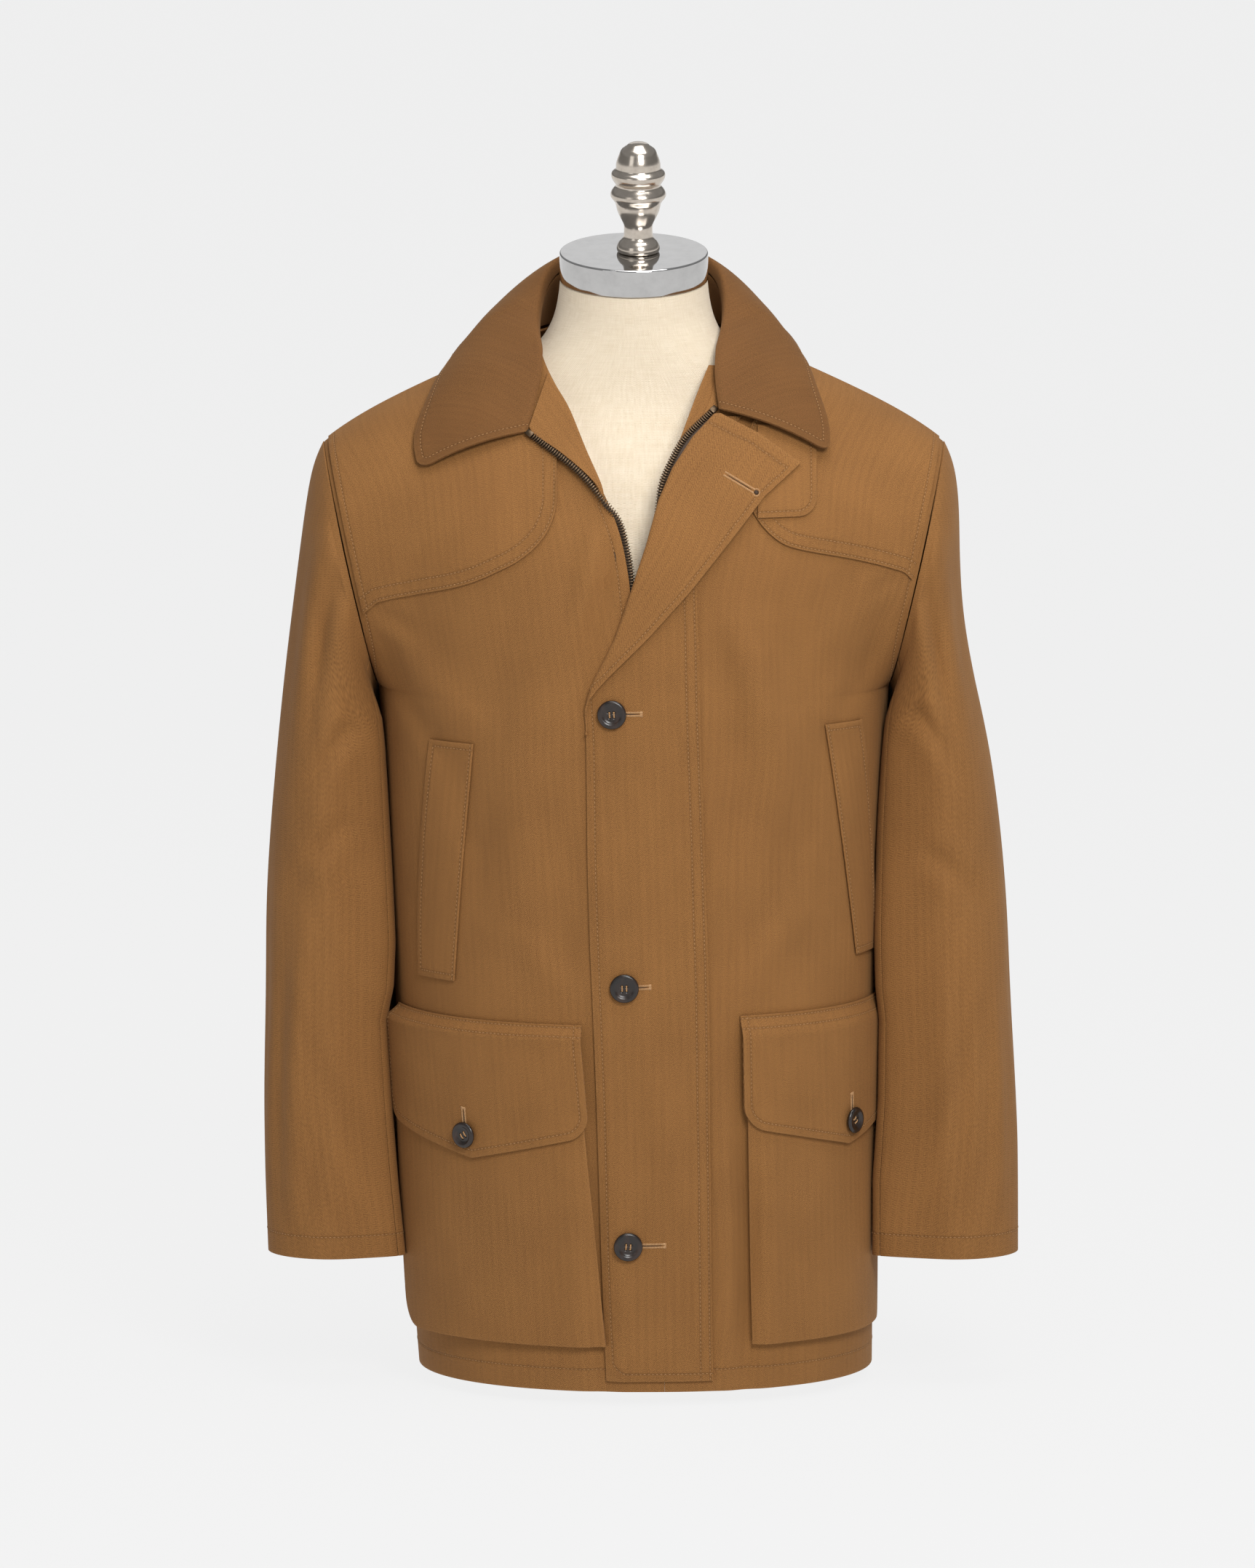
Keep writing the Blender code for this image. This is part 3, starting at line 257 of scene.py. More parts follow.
# Places on a sleeve are the way round from the outside to the front, and the way down from the shoulder.
RIGHT_SLEEVE_CREASES = (
    Crease((0.112, 0.060), (0.085, 0.400), -0.0062, 0.010, 0.006, 0.35),
    Crease((0.085, 0.050), (0.058, 0.400), 0.0050, 0.013, 0.004, 0.35),
    Crease((0.045, 0.150), (0.030, 0.420), -0.0030, 0.013, -0.004, 0.40),
    Crease((0.150, 0.330), (0.066, 0.430), -0.0056, 0.010, -0.006, 0.30),
    Crease((0.150, 0.430), (0.050, 0.505), -0.0040, 0.009, 0.006, 0.30),
    Crease((0.130, 0.480), (0.060, 0.470), 0.0026, 0.010, 0.006, 0.40),
    Crease((0.090, 0.500), (0.075, 0.690), 0.0044, 0.012, 0.003, 0.45),
    Crease((0.060, 0.520), (0.048, 0.690), -0.0034, 0.010, 0.002, 0.50),
    Crease((0.020, 0.420), (0.010, 0.660), -0.0030, 0.014, 0.0, 0.50),
    Crease((0.130, 0.600), (0.080, 0.690), -0.0024, 0.008, 0.003, 0.50),
    Crease((-0.150, 0.340), (-0.050, 0.450), -0.0070, 0.012, 0.008, 0.30),
    Crease((-0.150, 0.420), (-0.040, 0.540), -0.0058, 0.011, -0.006, 0.35),
    Crease((-0.100, 0.100), (-0.060, 0.400), 0.0050, 0.014, 0.006, 0.40),
    Crease((-0.120, 0.080), (-0.085, 0.360), -0.0050, 0.011, 0.006, 0.40),
)
LEFT_SLEEVE_CREASES = (
    Crease((0.116, 0.060), (0.092, 0.400), -0.0064, 0.010, 0.004, 0.35),
    Crease((0.090, 0.050), (0.062, 0.360), 0.0050, 0.013, 0.004, 0.35),
    Crease((0.050, 0.160), (0.036, 0.400), -0.0028, 0.013, -0.004, 0.40),
    Crease((0.150, 0.300), (0.076, 0.415), -0.0052, 0.010, -0.006, 0.30),
    Crease((0.145, 0.455), (0.046, 0.515), -0.0042, 0.009, 0.005, 0.30),
    Crease((0.104, 0.530), (0.112, 0.690), -0.0046, 0.009, 0.003, 0.50),
    Crease((0.056, 0.540), (0.060, 0.690), 0.0038, 0.012, 0.0, 0.50),
    Crease((0.012, 0.400), (0.004, 0.640), -0.0028, 0.014, 0.0, 0.50),
    Crease((-0.150, 0.320), (-0.060, 0.440), -0.0068, 0.012, 0.008, 0.30),
    Crease((-0.140, 0.450), (-0.030, 0.530), -0.0054, 0.011, -0.005, 0.35),
    Crease((-0.105, 0.110), (-0.070, 0.380), 0.0048, 0.014, -0.005, 0.40),
    Crease((-0.122, 0.080), (-0.092, 0.340), -0.0048, 0.011, -0.004, 0.40),
)


@dataclass(frozen=True)
class Torso:
    """The surface that the fronts and the back lie on.

    It is read by a level: the height of a flat ring below the arms, and above them the climb of the armhole
    from the underarm to the shoulder point.
    """

    # Level, half width, depth to the front, depth to the back.
    rings: Table = (
        (0.011, 0.1805, 0.150, 0.140),
        (0.100, 0.1840, 0.156, 0.146),
        (0.200, 0.1870, 0.160, 0.149),
        (0.300, 0.1905, 0.163, 0.152),
        (0.420, 0.1950, 0.165, 0.154),
        (0.500, 0.1985, 0.166, 0.155),
        (0.560, 0.2025, 0.166, 0.154),
    )
    # Level, front height, front depth, back height, back depth.
    shoulders: Table = (
        (0.500, 0.500, 0.166, 0.500, 0.155),
        (0.560, 0.560, 0.166, 0.560, 0.154),
        (0.620, 0.632, 0.162, 0.640, 0.152),
        (0.680, 0.703, 0.149, 0.720, 0.143),
        (0.730, 0.764, 0.121, 0.790, 0.127),
        (0.780, 0.814, 0.080, 0.838, 0.098),
        (0.820, 0.854, 0.032, 0.864, 0.042),
        (0.840, 0.8725, 0.000, 0.8725, 0.000),
    )
    # x, height, depth in, reach across, reach up, lean.
    hollows: Table = (
        (-0.178, 0.650, -0.0045, 0.028, 0.055, 0.10),
        (0.178, 0.645, -0.0045, 0.028, 0.055, -0.10),
        (-0.075, 0.500, 0.0030, 0.018, 0.075, 0.35),
        (0.105, 0.560, 0.0030, 0.016, 0.070, -0.30),
        (-0.120, 0.440, -0.0025, 0.018, 0.070, 0.25),
    )
    hem: float = 0.011
    underarm: float = 0.560
    ridge: float = 0.840
    roundness: float = 2.2
    shoulder_point: Pair = (0.245, 0.750)
    underarm_point: Pair = (0.2025, 0.560)
    armhole_depth: float = 0.085
    tip_drop: float = 0.0115
    tip_power: int = 8
    skirt_sway: float = 0.0098
    sway_top: float = 0.42
    sway_power: float = 1.5
    # How far below the underarm the round of the chest starts to flatten, over which run, and how flat it gets.
    blade_start: float = 0.02
    blade_run: float = 0.12
    blade_power: float = 2.4
    # Hollows and creases fade towards the side seam.
    relief_power: int = 6
    # Steps that slopes are measured over, halvings of a search, and steps of a ring.
    probe: float = 1.5 * MM
    ring_probe: float = 2 * MM
    halvings: int = 26
    ring_steps: int = 720

    @functools.cached_property
    def half_width_at(self) -> Spline:
        """Half width by level."""
        return Spline([(row[0], row[1]) for row in self.rings])

    @functools.cached_property
    def depth_at(self) -> Spline:
        """Depth to the front and to the back by level."""
        return Spline([(row[0], row[2], row[3]) for row in self.rings])

    @functools.cached_property
    def shoulder_at(self) -> Spline:
        """Height and depth of the front and of the back by level."""
        return Spline(self.shoulders)

    def sway(self, z: Array | float) -> Array:
        """How far the skirt hangs to the wearer's left."""
        return self.skirt_sway * np.clip(1 - np.asarray(z) / self.sway_top, 0.0, None) ** self.sway_power

    def row(self, level: Array, face: int) -> tuple[Array, Array, Array, Array, Array]:
        """The row of the surface at a level.

        Args:
            level: the level.
            face: -1 in front, 1 behind.
        Returns:
            y and z at the middle, then x, y and z of the outer end.
        """
        share = np.clip((level - self.underarm) / (self.ridge - self.underarm), 0.0, 1.0)
        turn = np.cos(np.pi * (1 - share))
        top, foot = self.shoulder_point, self.underarm_point
        outer_x = (top[0] + foot[0]) / 2 + (top[0] - foot[0]) / 2 * turn
        outer_z = (top[1] + foot[1]) / 2 + (top[1] - foot[1]) / 2 * turn
        outer_y = face * self.armhole_depth * np.sin(np.pi * (1 - share))
        below = level <= self.underarm
        ring_depth = self.depth_at(level)[0 if face < 0 else 1]
        heights = self.shoulder_at(level)
        high_z, high_depth = heights[:2] if face < 0 else heights[2:]
        return (
            face * np.where(below, ring_depth, high_depth),
            np.where(below, level, high_z),
            np.where(below, self.half_width_at(level)[0], outer_x),
            np.where(below, 0.0, outer_y),
            np.where(below, level, outer_z),
        )

    def relief(self, x: Array, z: Array, face: int) -> Array:
        """How far hollows and creases move the cloth out at a place of the front (-1) or the back (1).

        Args:
            x: places across.
            z: heights.
            face: -1 for the front, 1 for the back.
        Returns:
            How far each place moves out.
        """
        total = np.zeros(np.broadcast(x, z).shape)
        if face < 0:
            for hollow_x, hollow_z, depth, across, up, lean in self.hollows:
                side = x - hollow_x - lean * (z - hollow_z)
                total += depth * np.exp(-((side / across) ** 2) - ((z - hollow_z) / up) ** 2)
        for crease in FRONT_CREASES if face < 0 else BACK_CREASES:
            total += crease.height(x, z)
        return total

    def point(self, x: Array, level: Array, face: int) -> Array:
        """Points of the surface.

        Args:
            x: the way from the surface's own middle.
            level: the level.
            face: -1 in front, 1 behind.
        Returns:
            The points.
        """
        x, level = np.broadcast_arrays(np.asarray(x, float), np.asarray(level, float))
        centre_y, centre_z, outer_x, outer_y, outer_z = self.row(level, face)
        reach = np.minimum(np.abs(x) / outer_x, 1.0)
        ring = 1 - (1 - reach**self.roundness) ** (1 / self.roundness)
        blade = smooth_step((level - self.underarm + self.blade_start) / self.blade_run)
        y = between(centre_y, outer_y, (1 - blade) * ring + blade * reach**self.blade_power)
        share = np.clip((level - self.underarm) / (self.ridge - self.underarm), 0.0, 1.0)
        drop = self.tip_drop * share**2
        z = between(centre_z, outer_z + drop, reach ** (2 - share)) - drop * reach**self.tip_power
        y = y + face * self.relief(x, z, face) * (1 - reach**self.relief_power)
        return np.stack([x + self.sway(z), y, z], -1)

    def level_at(self, x: Array, z: Array, face: int) -> Array:
        """The level whose row passes the height z at x.

        Args:
            x: places across.
            z: heights.
            face: -1 for the front, 1 for the back.
        Returns:
            The levels.
        """
        x, z = np.broadcast_arrays(np.asarray(x, float), np.asarray(z, float))
        low = np.full(x.shape, self.underarm)
        high = np.full(x.shape, self.ridge)
        for _ in range(self.halvings):
            middle = (low + high) / 2
            under = self.point(x, middle, face)[..., 2] < z
            low = np.where(under, middle, low)
            high = np.where(under, high, middle)
        return np.where(z <= self.underarm, z, low)

    def lifted(self, x: Array, level: Array, face: int, lift: Array | float) -> Array:
        """Points of the surface moved out along its normal.

        Args:
            x: the way from the surface's own middle.
            level: the level.
            face: -1 in front, 1 behind.
            lift: the way out.
        Returns:
            The points.
        """
        x, level = np.broadcast_arrays(np.asarray(x, float), np.asarray(level, float))
        step = self.probe
        across = self.point(x + step, level, face) - self.point(x - step, level, face)
        high = np.minimum(level + step, self.ridge)
        low = np.maximum(level - step, self.hem)
        up = self.point(x, high, face) - self.point(x, low, face)
        normal = unit(np.cross(across, up) * -face)
        return self.point(x, level, face) + np.asarray(lift, float)[..., None] * normal

    def on_front(self, x: Array, z: Array, lift: Array | float) -> Array:
        """Points in front of the coat, placed as the front view shows them and moved out."""
        x = np.asarray(x, float) - self.sway(z)
        return self.lifted(x, self.level_at(x, z, -1), -1, lift)

    @functools.lru_cache(maxsize=None)
    def ring(self, millimetres: int) -> tuple[Array, Array, Array]:
        """The ring at a height in whole millimetres.

        Args:
            millimetres: the height.
        Returns:
            x, y and the way along it, from the middle of the back round the front, 0 in the middle of the front.
        """
        z = millimetres * MM
        half_width = self.half_width_at(z)[0]
        front, back = self.depth_at(z)
        angles = np.linspace(-math.pi, math.pi, self.ring_steps + 1)
        sines, cosines = np.sin(angles), np.cos(angles)
        x = half_width * np.sign(sines) * np.abs(sines) ** (2 / self.roundness)
        depth = np.where(cosines > 0, front, back)
        y = -np.sign(cosines) * depth * np.abs(cosines) ** (2 / self.roundness)
        way = np.concatenate([[0.0], np.cumsum(np.hypot(np.diff(x), np.diff(y)))])
        return x, y, way - way[self.ring_steps // 2]

    def way_at(self, x: float, z: float) -> float:
        """The way round the ring, from the middle of the front, to where the front view shows x.

        Args:
            x: the place across.
            z: the height of the ring.
        Returns:
            The way.
        """
        xs, _, way = self.ring(round(z / MM))
        front = slice(self.ring_steps // 4, 3 * self.ring_steps // 4 + 1)
        return float(np.interp(x - float(self.sway(z)), xs[front], way[front]))

    def around(self, way: Array, z: Array, lift: Array | float) -> Array:
        """Points of the coat a way round from the middle of the front.

        Args:
            way: the way round, to the wearer's left.
            z: the height.
            lift: the way out.
        Returns:
            The points.
        """
        way, z, lift = np.broadcast_arrays(way, z, lift)
        found = np.zeros((*way.shape, 3))
        heights = np.rint(z / MM).astype(int)
        for height in np.unique(heights):
            here = heights == height
            xs, ys, ways = self.ring(int(height))
            behind, middle, ahead = (
                np.stack([np.interp(way[here] + step, ways, line) for line in (xs, ys)], -1)
                for step in (-self.ring_probe, 0.0, self.ring_probe)
            )
            along = unit(ahead - behind)
            x, y = middle.T
            reach = np.minimum(np.abs(x) / self.half_width_at(height * MM)[0], 1.0)
            fade = 1 - reach**self.relief_power
            y = y - np.where(y < 0, self.relief(x, z[here], -1) * fade, 0.0)
            x = x + self.sway(z[here]) + along[:, 1] * lift[here]
            found[here] = np.stack([x, y - along[:, 0] * lift[here], z[here]], -1)
        return found


TORSO = Torso()


class Border(Enum):
    """The four borders of a cut piece's grid."""

    FIRST_COLUMN = "first column"
    LAST_COLUMN = "last column"
    FIRST_ROW = "first row"
    LAST_ROW = "last row"


FIRST, LAST, LOW, HIGH = Border.FIRST_COLUMN, Border.LAST_COLUMN, Border.FIRST_ROW, Border.LAST_ROW
COTTON_SLOT = "cotton"
COLLAR_SLOT = "collar_cotton"


@dataclass(frozen=True)
class Seam:
    """A row of stitches beside borders of a piece, each with the shares of it where the row starts and ends."""

    inset: float
    borders: tuple[tuple[Border, float, float], ...]


def seam(inset: float, *borders: Border) -> Seam:
    """A row of stitches along the whole of some borders."""
    return Seam(inset, tuple((border, 0.0, 1.0) for border in borders))


def feed(tree: Tree, node: bpy.types.Node, inputs: dict) -> None:
    """Gives each named or numbered input of a node a value or another node's socket.

    Args:
        tree: the tree of the material.
        node: the node.
        inputs: a value or a socket for each input.
    """
    for name, value in inputs.items():
        if isinstance(value, Socket):
            tree.links.new(value, node.inputs[name])
        else:
            node.inputs[name].default_value = value


def add_node(tree: Tree, kind: str, inputs: dict | None = None, **settings: object) -> bpy.types.Node:
    """Adds a shader node.

    Args:
        tree: the tree that it goes in.
        kind: the node's type.
        inputs: a value or another node's socket for each named or numbered input.
        settings: the node's own settings.
    Returns:
        The node.
    """
    made = tree.nodes.new(kind)
    for name, value in settings.items():
        setattr(made, name, value)
    feed(tree, made, inputs or {})
    return made


def maths(tree: Tree, operation: str, *values: object) -> Socket:
    """The result of a Math node on values or sockets."""
    return add_node(tree, "ShaderNodeMath", dict(enumerate(values)), operation=operation).outputs[0]


def layered(tree: Tree, start: object, *layers: tuple[Socket, float]) -> Socket:
    """The sum of a start and some layers, each with its weight.

    Args:
        tree: the tree of the material.
        start: a value or a socket.
        layers: sockets, each with its weight.
    Returns:
        The sum.
    """
    for layer, weight in layers:
        start = maths(tree, "MULTIPLY_ADD", layer, weight, start)
    return start


def split(tree: Tree, vector: Socket) -> Sequence[Socket]:
    """The three parts of a vector."""
    return add_node(tree, "ShaderNodeSeparateXYZ", {0: vector}).outputs


def object_place(tree: Tree) -> Socket:
    """The place on the object."""
    return add_node(tree, "ShaderNodeTexCoord").outputs["Object"]


def cloth_place(tree: Tree) -> Socket:
    """The place on the cloth laid flat."""
    return add_node(tree, "ShaderNodeUVMap", uv_map="cloth").outputs[0]


def stretched(tree: Tree, place: Socket, scale: Triple) -> Socket:
    """A place scaled along each axis."""
    return add_node(tree, "ShaderNodeMapping", {"Vector": place, "Scale": scale}).outputs[0]


def noise(tree: Tree, place: Socket, size: float, detail: float, flat: bool = False, **more: float) -> Socket:
    """Cloudy noise.

    Args:
        tree: the tree of the material.
        place: where it is read.
        size: the size of its clouds.
        detail: how many finer layers it has.
        flat: whether it lies in the plane of a cloth.
        more: values for its other inputs.
    Returns:
        The noise, from 0 to 1.
    """
    inputs = {"Vector": place, "Scale": 1 / size, "Detail": detail, **more}
    return add_node(tree, "ShaderNodeTexNoise", inputs, noise_dimensions="2D" if flat else "3D").outputs[0]


def bump(tree: Tree, height: Socket, distance: float, strength: float) -> Socket:
    """A normal that follows a height."""
    inputs = {"Height": height, "Distance": distance, "Strength": strength}
    return add_node(tree, "ShaderNodeBump", inputs).outputs[0]


def mix_colour(tree: Tree, share: object, first: object, second: object) -> Socket:
    """Mixes two colours.

    Args:
        tree: the tree of the material.
        share: how much of the second.
        first: a hex colour or a socket.
        second: a hex colour or a socket.
    Returns:
        The mixed colour.
    """
    ends = [to_linear(end) if isinstance(end, str) else end for end in (first, second)]
    inputs = {"Factor": share, 6: ends[0], 7: ends[1]}
    return add_node(tree, "ShaderNodeMix", inputs, data_type="RGBA").outputs[2]

class Finish:
    """A finish: a node material that is made once."""

    name: str

    @functools.cached_property
    def material(self) -> bpy.types.Material:
        """The node material.

        Returns:
            The material, with the finish's nodes on its shader.
        """
        material = bpy.data.materials.new(self.name)
        material.use_nodes = True
        tree = material.node_tree
        shader = tree.nodes["Principled BSDF"]
        feed(tree, shader, self.inputs(tree))
        return material

    def inputs(self, tree: Tree) -> dict[str, object]:
        """Adds the finish's own nodes and gives the shader's inputs."""
        raise NotImplementedError


@dataclass(frozen=True)
class HerringboneCotton(Finish):
    """Heavy cotton drill, woven in herringbone and washed.

    The eye gets a matt tan-brown with narrow upright stripes, each with a fine slant the other way, a soft bloom
    where the cloth turns away, grooves and puckers along the stitching with painted shade in the grooves, and
    paler turned edges, partly worn cloth and partly a painted highlight.
    """

    name: str = "herringbone cotton drill"
    dark: str = "#5C3A1B"
    light: str = "#A4733F"
    # Paler colour of turned edges: partly worn cloth, partly a painted highlight.
    worn: str = "#A87B4B"
    # Colour of the painted shade in the grooves of the stitching.
    sunk: str = "#4A2E14"
    bloom: str = "#D2A878"
    roughness: float = 0.86
    strip: float = 3.6 * MM
    # A real twill line is about 0.6 mm apart; it is drawn coarser so that it shows in the render.
    twill: float = 1.7 * MM
    slub: float = 0.9 * MM
    cloud: float = 60 * MM
    streak: Triple = (1 / (3.2 * MM), 1 / (55 * MM), 1.0)
    pucker: float = 9 * MM
    # Widths over which the groove of a stitch row with its painted shade, its pull, and the paler edge, partly
    # worn and partly a painted highlight, fade.
    groove: float = 0.9 * MM
    pull: float = 7.0 * MM
    wear_and_highlight_width: float = 1.3 * MM
    # Shares of the twill lines, stripes, streaks, slubs and clouds in the tone.
    tone_start: float = -0.06
    tones: tuple[float, ...] = (0.12, 0.03, 0.12, 0.92, 0.20)
    # How far painted shade darkens the stitch grooves, and how far the turned edges are paled, partly as worn
    # cloth and partly as a painted highlight.
    groove_shade_tone: float = 0.30
    wear_and_highlight_tone: float = 0.18
    # Heights of the weave, the puckers, the grooves and the clouds.
    weave_height: float = 0.16 * MM
    heights: Triple = (1.1 * MM, -0.40 * MM, 1.6 * MM)

    def inputs(self, tree: Tree) -> dict[str, object]:
        """Adds the weave, the stitches' grooves with their painted shade and the paler edges, partly worn and
        partly a painted highlight, and gives the shader's inputs.

        Args:
            tree: the tree of the material.
        Returns:
            A value or a socket for each of the shader's inputs that the finish sets.
        """
        cloth = cloth_place(tree)
        across, up, _ = split(tree, cloth)
        strip = maths(tree, "DIVIDE", across, self.strip)
        slant = maths(tree, "PINGPONG", strip, 1.0)
        stripe = maths(tree, "PINGPONG", maths(tree, "FLOOR", strip), 1.0)
        rise = maths(tree, "MULTIPLY_ADD", slant, self.strip, up)
        line = maths(tree, "SINE", maths(tree, "MULTIPLY", rise, 2 * math.pi / self.twill))
        slub = noise(tree, cloth, self.slub, 2.0, flat=True)
        cloud = noise(tree, cloth, self.cloud, 3.0, flat=True)
        streak = noise(tree, stretched(tree, cloth, self.streak), 1.0, 2.0, flat=True)
        layers = (line, stripe, streak, slub, maths(tree, "SUBTRACT", cloud, 0.5))
        shade = layered(tree, self.tone_start, *zip(layers, self.tones))
        rows = add_node(tree, "ShaderNodeAttribute", attribute_name="stitch_rows").outputs[1]
        near, *others = (maths(tree, "ABSOLUTE", off) for off in split(tree, rows))
        for off in others:
            near = maths(tree, "MINIMUM", near, off)
        groove, pull = self.bell(tree, near, self.groove), self.bell(tree, near, self.pull)
        edge = add_node(tree, "ShaderNodeAttribute", attribute_name="edge").outputs[2]
        # Turned edges are paled: partly worn cloth, partly a painted highlight.
        wear_and_highlight = maths(tree, "MULTIPLY", self.bell(tree, edge, self.wear_and_highlight_width), maths(tree, "ADD", slub, 0.1))
        colour = mix_colour(tree, shade, self.dark, self.light)
        # Painted shade darkens the grooves of the stitching.
        colour = mix_colour(tree, maths(tree, "MULTIPLY", groove, self.groove_shade_tone), colour, self.sunk)
        colour = mix_colour(tree, maths(tree, "MULTIPLY", wear_and_highlight, self.wear_and_highlight_tone), colour, self.worn)
        pucker = maths(tree, "MULTIPLY", noise(tree, cloth, self.pucker, 2.0, flat=True), pull)
        weave = maths(tree, "MULTIPLY", maths(tree, "MULTIPLY_ADD", line, 0.14, slub), self.weave_height)
        height = layered(tree, weave, *zip((pucker, groove, cloud), self.heights))
        return {
            "Base Color": colour,
            "Normal": bump(tree, height, 1.0, 0.9),
            "Roughness": self.roughness,
            "Specular IOR Level": 0.25,
            "Sheen Weight": 0.12,
            "Sheen Roughness": 0.5,
            "Sheen Tint": to_linear(self.bloom),
        }

    @staticmethod
    def bell(tree: Tree, away: Socket, width: float) -> Socket:
        """A soft bell that is 1 on a line and fades over a width to both sides."""
        share = maths(tree, "DIVIDE", away, width)
        return maths(tree, "EXPONENT", maths(tree, "MULTIPLY", maths(tree, "MULTIPLY", share, share), -1.0))


@dataclass(frozen=True)
class SewingThread(Finish):
    """Twisted polyester sewing thread: matt, a little paler than the cloth, with a fine twist."""

    name: str
    colour: str
    shadow: str
    twist: float = 0.8 * MM
    roughness: float = 0.7

    def inputs(self, tree: Tree) -> dict[str, object]:
        """Adds the twist and gives the shader's inputs.

        Args:
            tree: the tree of the material.
        Returns:
            A value or a socket for each of the shader's inputs that the finish sets.
        """
        twist = noise(tree, object_place(tree), self.twist, 1.0)
        colour = mix_colour(tree, twist, self.shadow, self.colour)
        normal = bump(tree, twist, 0.1 * MM, 0.6)
        return {"Base Color": colour, "Normal": normal, "Roughness": self.roughness}


@dataclass(frozen=True)
class BuffaloHorn(Finish):
    """Turned and polished dark horn: near black with faint brown streaks and a soft shine."""

    name: str = "polished dark horn"
    dark: str = "#0F0C0A"
    streak: str = "#38241A"
    grain: float = 6 * MM
    stretch: Triple = (1.0, 1.0, 0.25)
    ior: float = 1.54

    def inputs(self, tree: Tree) -> dict[str, object]:
        """Adds the grain and gives the shader's inputs.

        Args:
            tree: the tree of the material.
        Returns:
            A value or a socket for each of the shader's inputs that the finish sets.
        """
        place = stretched(tree, object_place(tree), self.stretch)
        grain = noise(tree, place, self.grain, 4.0, Distortion=0.6)
        share = maths(tree, "MULTIPLY", maths(tree, "POWER", grain, 3.0), 2.2)
        rough = maths(tree, "MULTIPLY_ADD", grain, 0.16, 0.22)
        return {"Base Color": mix_colour(tree, share, self.dark, self.streak), "Roughness": rough, "IOR": self.ior}


@dataclass(frozen=True)
class TurnedMetal(Finish):
    """A turned and plated metal: mirror bright where polished, with fine turning marks and a few dull spots."""

    name: str
    colour: str
    dull: str
    roughness: float
    spread: float
    spot: float

    def inputs(self, tree: Tree) -> dict[str, object]:
        """Adds the dull spots and gives the shader's inputs.

        Args:
            tree: the tree of the material.
        Returns:
            A value or a socket for each of the shader's inputs that the finish sets.
        """
        spots = noise(tree, object_place(tree), self.spot, 4.0, Roughness=0.6)
        colour = mix_colour(tree, maths(tree, "POWER", spots, 2.0), self.colour, self.dull)
        rough = maths(tree, "MULTIPLY_ADD", spots, self.spread, self.roughness)
        return {"Base Color": colour, "Roughness": rough, "Metallic": 1.0}


@dataclass(frozen=True)
class FormLinen(Finish):
    """Unbleached linen drawn over padding: cream, matt, with a plain open weave and thicker slubs both ways."""

    name: str = "unbleached linen"
    light: str = "#E4D6C0"
    dark: str = "#C8B494"
    # A linen thread is about 0.5 mm; it is drawn at 1.3 mm so that the weave shows in the render.
    thread: float = 1.3 * MM
    slub: Pair = (1 / (14 * MM), 1 / (0.8 * MM))
    roughness: float = 0.92
    sheen: float = 0.08

    def inputs(self, tree: Tree) -> dict[str, object]:
        """Adds the weave and the slubs, and gives the shader's inputs.

        Args:
            tree: the tree of the material.
        Returns:
            A value or a socket for each of the shader's inputs that the finish sets.
        """
        cloth = cloth_place(tree)
        turn = 2 * math.pi / self.thread
        ways = split(tree, cloth)[:2]
        warp, weft = (maths(tree, "SINE", maths(tree, "MULTIPLY", way, turn)) for way in ways)
        weave = maths(tree, "MULTIPLY", warp, weft)
        places = (stretched(tree, cloth, (*scale, 1.0)) for scale in (self.slub, self.slub[::-1]))
        slubs = maths(tree, "ADD", *(noise(tree, place, 1.0, 2.0, flat=True) for place in places))
        shade = layered(tree, -0.28, (slubs, 0.55), (weave, 0.10))
        height = maths(tree, "MULTIPLY_ADD", weave, 0.5, slubs)
        return {
            "Base Color": mix_colour(tree, shade, self.light, self.dark),
            "Normal": bump(tree, height, 0.25 * MM, 0.8),
            "Roughness": self.roughness,
            "Sheen Weight": self.sheen,
        }


@dataclass(frozen=True)
class OpalAcrylic(Finish):
    """Opal acrylic sheet, cast and sanded matt, lit evenly from behind: a pale ground almost without shadow."""

    name: str = "back-lit opal acrylic"
    tones: tuple[str, str] = ("#3A3A3A", "#3E3E3E")
    cloud: float = 2.5
    # The glow on the floor, its share high on the wall, and the heights between which it fades.
    glow: float = 0.845
    high_share: float = 0.2
    fade: Pair = (1.2, 3.6)

    def inputs(self, tree: Tree) -> dict[str, object]:
        """Adds the tone and the glow, and gives the shader's inputs.

        Args:
            tree: the tree of the material.
        Returns:
            A value or a socket for each of the shader's inputs that the finish sets.
        """
        place = object_place(tree)
        inputs = {"Value": split(tree, place)[2], 1: self.fade[0], 2: self.fade[1]}
        inputs |= {3: self.glow, 4: self.high_share * self.glow}
        glow = add_node(tree, "ShaderNodeMapRange", inputs, interpolation_type="SMOOTHSTEP").outputs[0]
        return {
            "Base Color": mix_colour(tree, noise(tree, place, self.cloud, 1.0), *self.tones),
            "Emission Color": (1.0, 1.0, 1.0, 1.0),
            "Emission Strength": glow,
            "Roughness": 1.0,
            "Specular IOR Level": 0.0,
        }


COTTON = HerringboneCotton()
COLLAR_COTTON = HerringboneCotton("herringbone cotton drill of the collar", "#4C2F15", "#855A2F", "#93693C")
